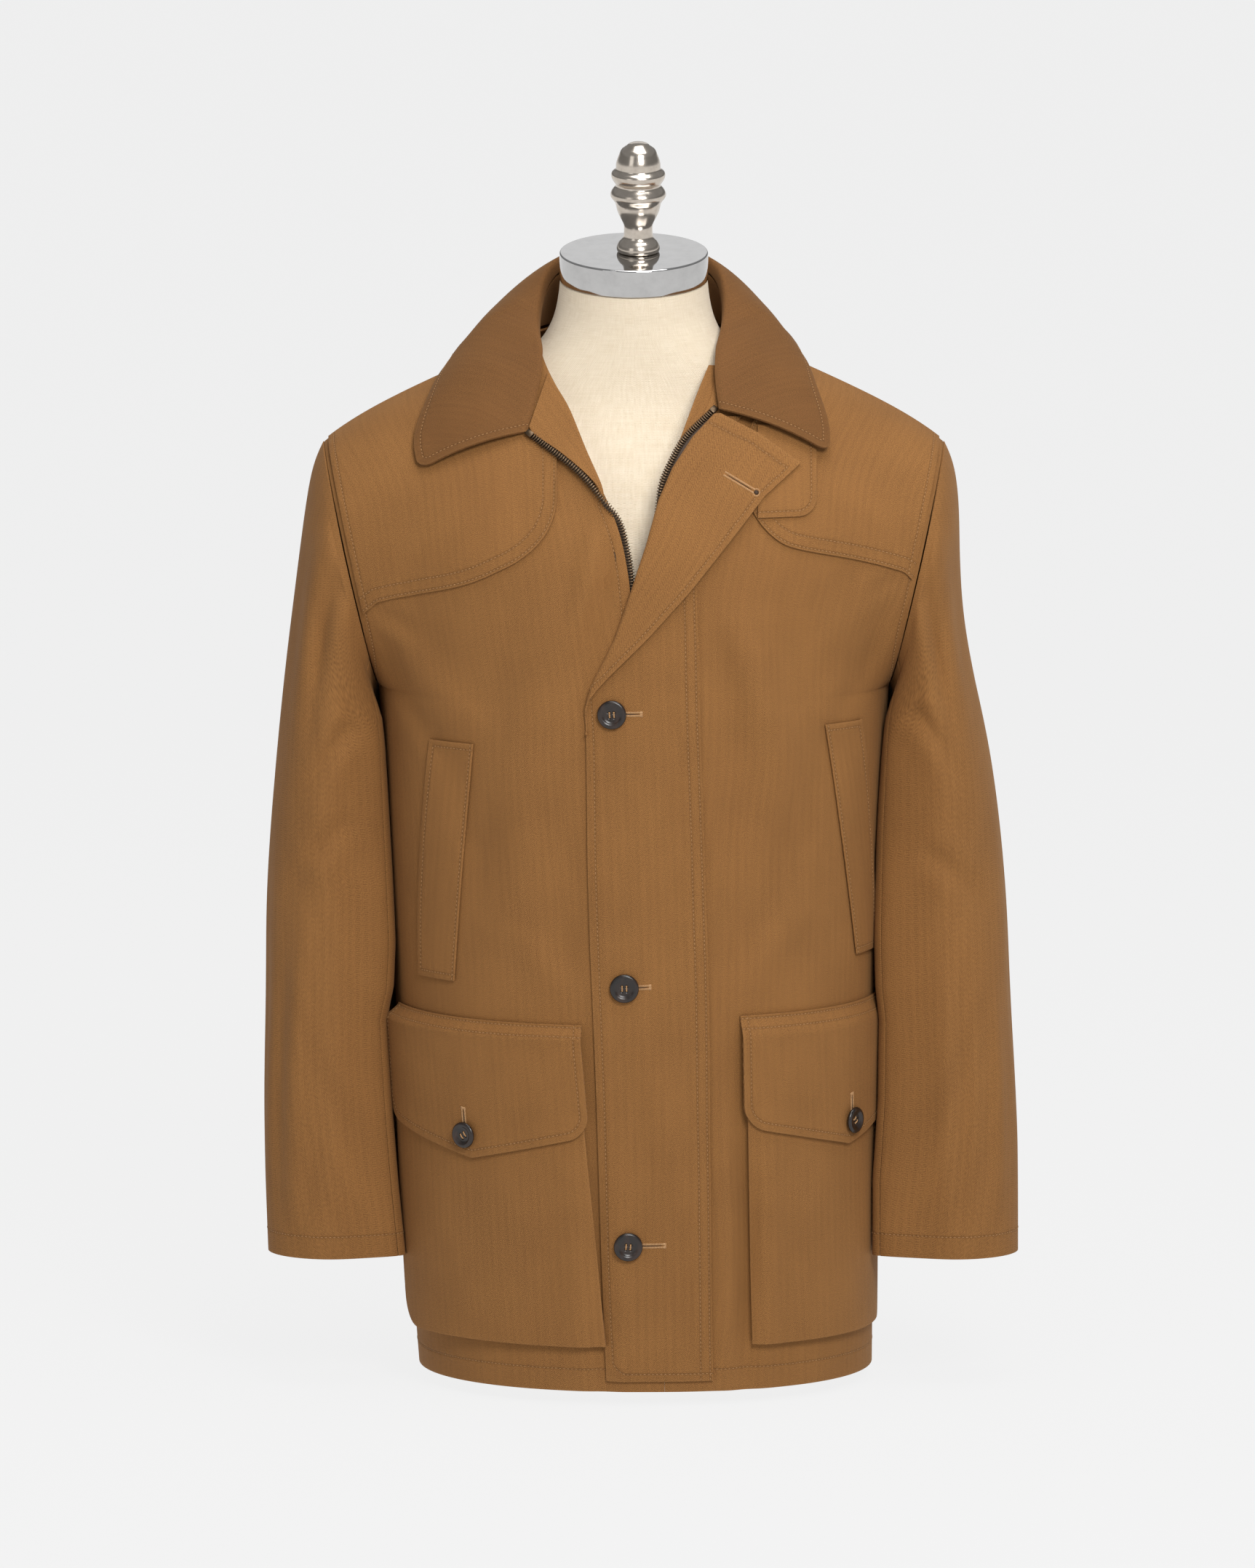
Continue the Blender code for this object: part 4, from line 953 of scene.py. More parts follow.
# The tape's dark finish also paints the shade in the buttonholes' slits.
TAPE_AND_SLIT_SHADE = SewingThread("woven zip tape and painted slit shade", "#4A3522", "#2E1F12")
THREAD = SewingThread("topstitching thread", "#B08553", "#875D33")
BUTTON_THREAD = SewingThread("button thread", "#CFA677", "#94693F")
HORN = BuffaloHorn()
BRASS = TurnedMetal("antique brass", "#6C5A47", "#2E2218", 0.30, 0.25, 2.0 * MM)
CHROME = TurnedMetal("chromium plate", "#C9C8C7", "#ADACAB", 0.035, 0.05, 12.0 * MM)
NICKEL = TurnedMetal("polished nickel", "#D6CCC0", "#A79C8E", 0.13, 0.16, 7.0 * MM)
LINEN = FormLinen()
OPAL = OpalAcrylic()


def add_object(name: str, data: bpy.types.ID) -> bpy.types.Object:
    """An object of some data, in the scene.

    Args:
        name: its name.
        data: its data.
    Returns:
        The object.
    """
    made = bpy.data.objects.new(name, data)
    bpy.context.scene.collection.objects.link(made)
    return made


def to_mesh(name: str, shape: Shape) -> bpy.types.Mesh:
    """A mesh of a shape, which is freed.

    Args:
        name: its name.
        shape: the shape.
    Returns:
        The mesh.
    """
    mesh = bpy.data.meshes.new(name)
    shape.to_mesh(mesh)
    shape.free()
    return mesh


def add_piece(name: str, shape: Shape, finish: Finish) -> bpy.types.Object:
    """Makes an object of a shape, with its finish, and lets it ride on the part.

    Args:
        name: the piece's name.
        shape: the shape, which is freed.
        finish: the finish of all of it.
    Returns:
        The object.
    """
    mesh = to_mesh(name, shape)
    mesh.shade_smooth()
    mesh.materials.append(finish.material)
    piece = add_object(name, mesh)
    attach(piece, BODY)
    LOG.info("%s: %d faces", name, len(mesh.polygons))
    return piece


def add_wall(piece: bpy.types.Object, thick: float) -> bpy.types.Modifier:
    """Gives a sheet its thickness, half of it to each side.

    Args:
        piece: the sheet.
        thick: its thickness.
    Returns:
        The modifier that makes it.
    """
    wall = piece.modifiers.new("Wall", "SOLIDIFY")
    wall.thickness = thick
    wall.offset = 0.0
    return wall


def grid_of(points: Array) -> tuple[Shape, list[tuple[int, int]]]:
    """A grid of faces on points by row and column.

    Args:
        points: the points.
    Returns:
        The shape, and the row and column of each of its vertices.
    """
    rows, columns = points.shape[0] - 1, points.shape[1] - 1
    shape = bmesh.new()
    bmesh.ops.create_grid(shape, x_segments=columns, y_segments=rows, size=1)
    spots = []
    for vertex in shape.verts:
        spots.append((round((vertex.co.y + 1) / 2 * rows), round((vertex.co.x + 1) / 2 * columns)))
        vertex.co = points[spots[-1]]
    return shape, spots


def spun(profile: Sequence[Pair], steps: int) -> Shape:
    """A shape turned about the Z axis.

    Args:
        profile: radius and height from point to point.
        steps: number of steps in the whole turn.
    Returns:
        The shape.
    """
    shape = bmesh.new()
    points = [shape.verts.new((radius, 0.0, height)) for radius, height in profile]
    edges = [shape.edges.new(pair) for pair in zip(points, points[1:])]
    turn = {"axis": (0, 0, 1), "cent": (0, 0, 0), "angle": 2 * math.pi, "steps": steps}
    bmesh.ops.spin(shape, geom=points + edges, use_merge=True, **turn)
    bmesh.ops.remove_doubles(shape, verts=shape.verts, dist=0.00001)
    bmesh.ops.recalc_face_normals(shape, faces=shape.faces)
    return shape


def basis(along: Array, normal: Array, place: Array, size: tuple[float, float, float]) -> Matrix:
    """A place and a size for a small shape.

    Args:
        along: the direction of the shape's own X.
        normal: the direction of its Z, made square to X.
        place: its middle.
        size: its half sizes along X, Y and Z.
    Returns:
        The matrix.
    """
    first = Vector(along).normalized()
    up = Vector(normal)
    up = (up - first * up.dot(first)).normalized()
    turned = Matrix((first, up.cross(first), up)).transposed().to_4x4()
    return Matrix.Translation(Vector(place)) @ turned @ Matrix.Diagonal((*size, 1.0))


def contour(field: Array, value: float) -> list[Array]:
    """Lines along which a field on a grid has a value.

    Args:
        field: the field, by row and column.
        value: the value.
    Returns:
        Each line as rows and columns, with fractions.
    """
    above = field > value
    total = above[:-1, :-1].astype(int) + above[1:, :-1] + above[:-1, 1:] + above[1:, 1:]
    places: dict[tuple[int, int, int], Pair] = {}
    links: dict[tuple[int, int, int], list[tuple[int, int, int]]] = {}
    for row, column in np.argwhere((total > 0) & (total < 4)).tolist():
        crossed = []
        for key in ((row, column, 0), (row + 1, column, 0), (row, column, 1), (row, column + 1, 1)):
            one = field[key[0], key[1]]
            other = field[key[0] + key[2], key[1] + 1 - key[2]]
            if (one > value) != (other > value):
                share = (value - one) / (other - one)
                places[key] = (key[0] + share * key[2], key[1] + share * (1 - key[2]))
                crossed.append(key)
        for one, other in zip(crossed[::2], crossed[1::2]):
            links.setdefault(one, []).append(other)
            links.setdefault(other, []).append(one)
    lines, seen = [], set()
    for start in sorted(links, key=lambda key: len(links[key])):
        if start in seen:
            continue
        line, here = [], start
        while here is not None:
            seen.add(here)
            line.append(places[here])
            here = next((key for key in links[here] if key not in seen), None)
        lines.append(np.array(line))
    return lines


@dataclass
class Cloth:
    """One cut piece of cloth: a grid of points by row and column that becomes a thin shell."""

    name: str
    points: Array
    wall: float
    seams: tuple[Seam, ...] = ()
    flat: Array | None = None
    axis: Array | None = None
    two_faced: bool = False
    # Borders whose edges the cotton pales: partly worn cloth, partly a painted highlight.
    worn: tuple[Border, ...] = ()
    # Share of the wall that turned edges are rounded by, and the angle from which an edge is rounded.
    edge_share: float = 0.3
    edge_angle: float = math.radians(55)

    @property
    def ground(self) -> Array:
        """Where ways to borders are measured: the cloth laid flat if that is given, or else its points."""
        return self.points if self.flat is None else self.flat

    def lengths(self) -> Array:
        """The cloth laid flat: the way along each row from the middle column, and up each column.

        Returns:
            The place of each point across and up, by row and column.
        """
        if self.flat is not None:
            return self.flat
        across = np.linalg.norm(np.diff(self.points, axis=1), axis=2).cumsum(1)
        across = np.concatenate([np.zeros((len(across), 1)), across], 1)
        up = np.linalg.norm(np.diff(self.points, axis=0), axis=2).cumsum(0)
        up = np.concatenate([np.zeros((1, up.shape[1])), up], 0)
        middle = across.shape[1] // 2
        return np.stack([across - across[:, middle : middle + 1], up], -1)

    def border(self, border: Border, first: float, last: float) -> Array:
        """Points of a stretch of a border.

        Args:
            border: the border.
            first: share where the stretch starts.
            last: share where it ends.
        Returns:
            The points.
        """
        points = self.ground
        line = {FIRST: points[:, 0], LAST: points[:, -1], LOW: points[0], HIGH: points[-1]}[border]
        start, end = round(first * (len(line) - 1)), round(last * (len(line) - 1))
        return line[start : end + 1]

    def away(self, borders: Sequence[tuple[Border, float, float]]) -> Array:
        """How far each point of the grid is from the nearest of some stretches of borders.

        Args:
            borders: each border with the shares where its stretch starts and ends.
        Returns:
            The distances by row and column.
        """
        points = self.ground
        nearest = np.full(points.shape[:2], 1.0)
        for stretch in borders:
            line = self.border(*stretch)
            for start, end in zip(line, line[1:]):
                run = end - start
                square = float(run @ run)
                share = np.zeros(points.shape[:2])
                if square > 1e-14:
                    share = np.clip((points - start) @ run / square, 0.0, 1.0)
                off = np.linalg.norm(points - start - share[..., None] * run, axis=-1)
                nearest = np.minimum(nearest, off)
        return nearest

    def normals(self) -> Array:
        """Normals of the grid that point away from its axis, which is the middle of the coat unless given.

        Returns:
            The normals by row and column.
        """
        across = np.gradient(self.points, axis=1)
        up = np.gradient(self.points, axis=0)
        normals = unit(np.cross(across, up))
        axis = self.points * np.array([0.0, 0.0, 1.0]) if self.axis is None else self.axis
        outward = float(np.sum(normals * (self.points - axis)))
        return normals if outward > 0 else -normals

    @staticmethod
    def read(grid: Array, line: Array) -> Array:
        """Values of a grid along a line of rows and columns with fractions.

        Args:
            grid: values by row and column.
            line: row and column of each place.
        Returns:
            The value at each place.
        """
        low = np.minimum(line.astype(int), np.array(grid.shape[:2]) - 2)
        row, column = (line - low).T[..., None]
        i, j = low.T
        first = grid[i, j] * (1 - column) + grid[i, j + 1] * column
        second = grid[i + 1, j] * (1 - column) + grid[i + 1, j + 1] * column
        return first * (1 - row) + second * row

    def sew(self, fields: Sequence[Array]) -> list[bpy.types.Object]:
        """Lays the stitches of every seam on the cloth.

        Args:
            fields: how far each point is from the borders of each seam.
        Returns:
            All the stitches as one piece, or nothing where the cloth has no seam.
        """
        shape = bmesh.new()
        normals = self.normals()
        for row, field in zip(self.seams, fields):
            for line in contour(field, row.inset):
                points = self.read(self.points, line)
                outward = unit(self.read(normals, line))
                for face in (1, -1) if self.two_faced else (1,):
                    lay_stitches(shape, points + outward * face * (self.wall / 2 + STITCH_RISE), outward * face)
        if not shape.verts:
            shape.free()
            return []
        return [add_piece(f"{self.name}_stitches", shape, THREAD)]

    def build(
        self, finish: Finish, slot: str, held: str = "hung", rests_on: Sequence[str] = ("form_torso",)
    ) -> None:
        """Makes the shell and its stitches.

        Args:
            finish: the cloth's finish.
            slot: the record's material slot; not used.
            held: how the cloth is held; not used.
            rests_on: the nodes that it lies on or hangs from; not used.
        """
        flat = self.lengths()
        shape, spots = grid_of(self.points)
        cloth = shape.loops.layers.uv.new("cloth")
        edge = shape.verts.layers.float.new("edge")
        stitch_rows = shape.verts.layers.float_vector.new("stitch_rows")
        fields = [self.away(row.borders) for row in self.seams]
        offs = np.ones((*self.points.shape[:2], 3))
        for i, (field, row) in enumerate(zip(fields[:3], self.seams)):
            offs[..., i] = field - row.inset
        # Ways to the worn borders, which the cotton pales: partly worn cloth, partly a painted highlight.
        worn = self.away([(border, 0.0, 1.0) for border in self.worn])
        for vertex, spot in zip(shape.verts, spots):
            vertex[edge] = worn[spot]
            vertex[stitch_rows] = offs[spot]
            for loop in vertex.link_loops:
                loop[cloth].uv = flat[spot]
        piece = add_piece(f"{self.name}_cloth", shape, finish)
        add_wall(piece, self.wall).use_quality_normals = True
        turned = piece.modifiers.new("Turned edges", "BEVEL")
        turned.width = self.edge_share * self.wall
        turned.segments = 2
        turned.limit_method = "ANGLE"
        turned.angle_limit = self.edge_angle
        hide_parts(self.name)
        stitches = self.sew(fields)


# An operator walks through the whole mesh that it adds to, so stitches are made in small batches.
STITCHES_AT_ONCE = 48
STITCH_PITCH = 3.3 * MM
STITCH_HALF = 0.36 * STITCH_PITCH
STITCH_SIZE = (STITCH_HALF, 0.42 * MM, 0.28 * MM)
STITCH_RISE = 0.05 * MM


def lay_stitches(shape: Shape, line: Array, normals: Array) -> None:
    """Lays short stitches along a line.

    Args:
        shape: the shape that they are added to.
        line: points of the line.
        normals: the way out of the cloth at each point.
    """
    way = way_along(line)
    count = int(way[-1] / STITCH_PITCH)
    if count < 2:
        return
    places = (np.arange(count) + 0.5) * way[-1] / count

    def read(values: Array, at: Array) -> Array:
        """Values along the line at some ways."""
        return np.stack([np.interp(at, way, values[:, i]) for i in range(3)], -1)

    middles, ups = read(line, places), read(normals, places)
    runs = read(line, places + STITCH_HALF) - read(line, places - STITCH_HALF)
    for first in range(0, count, STITCHES_AT_ONCE):
        few = bmesh.new()
        for i in range(first, min(first + STITCHES_AT_ONCE, count)):
            matrix = basis(runs[i], ups[i], middles[i], STITCH_SIZE)
            bmesh.ops.create_icosphere(few, subdivisions=1, radius=1.0, matrix=matrix)
        batch = to_mesh("stitches", few)
        shape.from_mesh(batch)
        bpy.data.meshes.remove(batch)


@dataclass(frozen=True)
class BodyPanels:
    """The two fronts and the back."""

    wall: float = 1.6 * MM
    part_line: float = 0.35 * MM
    zip_half_gap: float = 4.0 * MM
    hem_half_gap: float = 0.06 * MM
    closed_below: Pair = (0.030, 0.058)
    neck_point: float = 0.078
    neck_level_back: float = 0.793
    hem_row: float = 0.018
    armhole_row: float = 0.006
    edge_row: float = 0.008
    # Height, right edge, left edge in the open neck.
    neck_edge: Table = (
        (0.6612, -0.0040, 0.0040),
        (0.6950, -0.0110, 0.0142),
        (0.7265, -0.0237, 0.0238),
        (0.7570, -0.0390, 0.0372),
        (0.7900, -0.0530, 0.0580),
        (0.8170, -0.0690, 0.0680),
        (0.8386, -0.0780, 0.0780),
    )
    # Height, place of the closed zip.
    zip_line: Table = (
        (0.011, 0.0245),
        (0.200, 0.0235),
        (0.330, 0.0215),
        (0.450, 0.0170),
        (0.555, 0.0110),
        (0.620, 0.0040),
        (0.6612, 0.0000),
    )
    front_levels: tuple[float, ...] = (
        0.011, 0.05, 0.10, 0.15, 0.20, 0.25, 0.30, 0.35, 0.40, 0.45, 0.50, 0.54, 0.56,
        0.59, 0.62, 0.65, 0.675, 0.70, 0.725, 0.75, 0.775, 0.797, 0.815, 0.830, 0.840,
    )
    front_columns: int = 60
    front_rows: int = 192
    back_columns: int = 46
    back_neck_columns: int = 16
    back_rows: int = 170
    back_row_power: float = 1.35
    # Armhole stitches start this far above the underarm.
    armhole_start: float = 0.02
    # Stitches of the right edge: the height of the roll, and the shares of the rows below and above it.
    edge_height: float = 0.655
    edge_span: Pair = (-0.08, 0.06)
    passes: int = 12

    @functools.cached_property
    def zip_line_at(self) -> Spline:
        """Place of the closed zip by height."""
        return Spline(self.zip_line)

    @functools.cached_property
    def neck_edge_at(self) -> Spline:
        """Right and left edge in the open neck by height."""
        return Spline(self.neck_edge)

    def front_edge(self, z: Array, side: int) -> Array:
        """x of a front's own edge at a height, side -1 for the wearer's right.

        Args:
            z: heights.
            side: -1 for the wearer's right, 1 for the left.
        Returns:
            x at each height.
        """
        z = np.asarray(z)
        low, high = self.closed_below
        gap = between(self.hem_half_gap, self.zip_half_gap, smooth_step((z - low) / (high - low)))
        closed = self.zip_line_at(z)[0] + side * gap
        return np.where(z < self.neck_edge[0][0], closed, self.neck_edge_at(z)[0 if side < 0 else 1])

    def front(self, name: str, side: int) -> None:
        """One front, from its edge to the side seam and armhole.

        Args:
            name: its side in names of pieces.
            side: -1 for the wearer's right, 1 for the left.
        """
        levels = finer(self.front_levels, self.front_rows)
        outer = TORSO.row(levels, -1)[2]
        x = self.front_edge(levels, side)
        for _ in range(self.passes):
            x = self.front_edge(TORSO.point(x, levels, -1)[:, 2], side)
        x = x - np.where(levels < TORSO.sway_top, TORSO.sway(levels), 0.0)
        start = np.arcsin(np.copysign(np.abs(x / outer) ** (TORSO.roundness / 2), x * side))[:, None]
        sine = np.sin(between(start, math.pi / 2, even(self.front_columns)))
        reach = np.copysign(np.abs(sine) ** (2 / TORSO.roundness), sine)
        points = TORSO.point(side * outer[:, None] * reach, levels[:, None], -1)
        points[..., 1] -= self.part_line
        heights = (TORSO.underarm + self.armhole_start, self.edge_height)
        above, neck = (float(np.searchsorted(levels, height)) / self.front_rows for height in heights)
        seams = [seam(self.hem_row, LOW), Seam(self.armhole_row, ((LAST, above, 1.0),))]
        if side < 0:
            below, beyond = self.edge_span
            seams.append(Seam(self.edge_row, ((FIRST, neck + below, neck + beyond),)))
        Cloth(name, points, self.wall, tuple(seams), worn=(LOW,)).build(COTTON, COTTON_SLOT)

    def back(self) -> None:
        """The back in one piece, hollowed at the neck between the shoulder seams."""
        neck_reach = self.neck_point / TORSO.shoulder_point[0]
        inner = neck_reach * np.sin(np.pi / 2 * even(self.back_neck_columns))
        start = math.asin(neck_reach ** (TORSO.roundness / 2))
        outer = np.sin(between(start, math.pi / 2, even(self.back_columns)[1:])) ** (2 / TORSO.roundness)
        half = np.concatenate([inner, outer])
        reaches = np.concatenate([-half[:0:-1], half])[None, :]
        inside = np.sqrt(np.clip(1 - (reaches / neck_reach) ** 2, 0.0, None))
        top = TORSO.ridge - (TORSO.ridge - self.neck_level_back) * inside
        shares = even(self.back_rows)[:, None]
        level = between(TORSO.hem, top, 1 - (1 - shares) ** self.back_row_power)
        points = TORSO.point(reaches * TORSO.row(level, 1)[2], level, 1)
        points[..., 1] += self.part_line
        rise = float(np.argmax(level[:, 0] > TORSO.underarm + self.armhole_start)) / self.back_rows
        armholes = Seam(self.armhole_row, ((FIRST, rise, 1.0), (LAST, rise, 1.0)))
        back = Cloth("back", points, self.wall, (seam(self.hem_row, LOW), armholes), worn=(LOW,))
        back.build(COTTON, COTTON_SLOT)

    def build(self) -> None:
        """Makes the three panels."""
        self.front("front_right", -1)
        self.front("front_left", 1)
        self.back()


PANELS = BodyPanels()


@dataclass(frozen=True)
class Sleeves:
    """The two sleeves, each of an upper and an under sleeve."""

    # Station, outer x and z, inner x and z, half depth, y of the middle.
    rings: Table = (
        (0.0, 0.2450, 0.7500, 0.2035, 0.5590, 0.0850, 0.000),
        (1.0, 0.2535, 0.7280, 0.2052, 0.5520, 0.0870, 0.000),
        (2.0, 0.2605, 0.6880, 0.2070, 0.5440, 0.0870, 0.000),
        (3.0, 0.2680, 0.6300, 0.2075, 0.5320, 0.0845, 0.000),
        (4.0, 0.2770, 0.5550, 0.2060, 0.5100, 0.0800, -0.002),
        (5.0, 0.2865, 0.4550, 0.2020, 0.4450, 0.0740, -0.006),
        (6.0, 0.2920, 0.3550, 0.1985, 0.3550, 0.0680, -0.014),
        (7.0, 0.2935, 0.2300, 0.1955, 0.2300, 0.0590, -0.024),
        (8.0, 0.2900, 0.1050, 0.1910, 0.1050, 0.0480, -0.031),
    )
    # Station, angle, depth, reach in stations and in angle.
    folds: Table = (
        (3.3, 1.35, -0.0050, 0.9, 0.30),
        (2.6, 0.75, 0.0035, 1.0, 0.28),
        (5.6, 1.10, -0.0040, 0.6, 0.55),
        (6.4, 0.30, -0.0030, 0.5, 0.60),
        (5.2, -1.20, -0.0040, 0.7, 0.50),
        (7.1, 1.60, 0.0025, 0.7, 0.45),
    )
    # Station, then how far the inner front and the inner back hang to the body, on the right and on the left.
    tucks: Table = (
        (0.0, 0.0000, 0.0000, 0.0000, 0.0000),
        (1.0, 0.0000, 0.0080, 0.0000, 0.0080),
        (1.8, 0.0040, 0.0145, 0.0040, 0.0145),
        (2.6, 0.0095, 0.0190, 0.0095, 0.0190),
        (3.3, 0.0135, 0.0195, 0.0135, 0.0195),
        (4.0, 0.0150, 0.0195, 0.0160, 0.0200),
        (5.0, 0.0160, 0.0185, 0.0195, 0.0205),
        (6.0, 0.0175, 0.0185, 0.0218, 0.0232),
        (6.3, 0.0150, 0.0193, 0.0213, 0.0237),
        (6.5, 0.0085, 0.0200, 0.0188, 0.0239),
        (7.0, 0.0110, 0.0206, 0.0205, 0.0243),
        (7.5, 0.0140, 0.0212, 0.0250, 0.0230),
        (8.0, 0.0180, 0.0225, 0.0250, 0.0200),
    )
    tuck_angles: Pair = (2.5, 3.9)
    tuck_spread: float = 0.36
    wall: float = 1.6 * MM
    part_line: float = 0.35 * MM
    seam_angle: float = math.radians(138)
    clear: float = 1.0 * MM
    swing: float = 0.015
    swing_top: float = 0.56
    swing_power: float = 1.2
    # How far the left sleeve is drawn in, its height and reach, and the station where that is full.
    close: Triple = (0.0095, 0.610, 0.085)
    close_full: float = 2.5
    # Sizes that lay the creases out: the way round for an angle, and the way down for a station.
    softness: float = 0.62
    round_way: float = 0.072
    down_way: float = 0.088
    # Station from which folds and creases are full.
    relief_full: float = 0.6
    rows: int = 150
    upper_columns: int = 86
    under_columns: int = 30
    axis_columns: int = 24
    cuff_row: float = 0.018

    @functools.cached_property
    def ring_at(self) -> Spline:
        """The ring of a sleeve by station."""
        return Spline(self.rings)

    def point(self, station: Array, angle: Array, side: int) -> Array:
        """Points of a sleeve.

        Args:
            station: the station, 0 at the armhole and 8 at the cuff.
            angle: from the outside at 0 to the front at a quarter turn.
            side: -1 for the wearer's right.
        Returns:
            The points.
        """
        station, angle = np.broadcast_arrays(station, angle)
        outer_x, outer_z, inner_x, inner_z, depth, middle_y = self.ring_at(station)
        turn = np.where(angle > math.pi, angle - 2 * math.pi, angle)
        relief = np.zeros(station.shape)
        for fold_station, fold_angle, fold, along, spread in self.folds:
            off = ((station - fold_station) / along) ** 2 + ((angle - fold_angle) / spread) ** 2
            relief += fold * np.exp(-off)
        for crease in RIGHT_SLEEVE_CREASES if side < 0 else LEFT_SLEEVE_CREASES:
            relief += self.softness * crease.height(turn * self.round_way, station * self.down_way)
        relief *= smooth_step(station / self.relief_full)
        grow = 1 + relief / depth
        x = (outer_x + inner_x) / 2 + grow * np.cos(angle) * (outer_x - inner_x) / 2
        z = (outer_z + inner_z) / 2 + grow * np.cos(angle) * (outer_z - inner_z) / 2
        y = middle_y - grow * np.sin(angle) * depth
        table = np.array(self.tucks).T
        x = x + self.clear
        for middle, tuck in zip(self.tuck_angles, table[1:3] if side < 0 else table[3:5]):
            away = (angle % (2 * math.pi) - middle) / self.tuck_spread
            x = x - np.interp(station, table[0], tuck) * np.exp(-(away**2))
        if side > 0:
            close, height, reach = self.close
            close = close * smooth_step(station / self.close_full) * (1 + np.cos(angle)) / 2
            x = x - close * np.exp(-(((z - height) / reach) ** 2))
            fall = np.clip((self.swing_top - z) / (self.swing_top - self.rings[-1][2]), 0.0, None)
            x = x + self.swing * fall**self.swing_power
        return np.stack([side * x, y, z], -1)

    def build(self) -> None:
        """Makes the four pieces."""
        gap = self.part_line / self.rings[4][5]
        spans = {
            "upper": (-self.seam_angle + gap, self.seam_angle - gap, self.upper_columns),
            "under": (self.seam_angle + gap, 2 * math.pi - self.seam_angle - gap, self.under_columns),
        }
        stations = self.rings[-1][0] * even(self.rows)[:, None]
        for side_name, side in (("right", -1), ("left", 1)):
            round_about = self.point(stations, 2 * math.pi * even(self.axis_columns)[None, :-1], side)
            axis = round_about.mean(1, keepdims=True)
            for part, (first, last, columns) in spans.items():
                points = self.point(stations, between(first, last, even(columns)[None, :]), side)
                seams = (seam(self.cuff_row, HIGH),)
                piece = Cloth(f"sleeve_{side_name}_{part}", points, self.wall, seams, axis=axis, worn=(HIGH,))
                piece.build(COTTON, COTTON_SLOT)


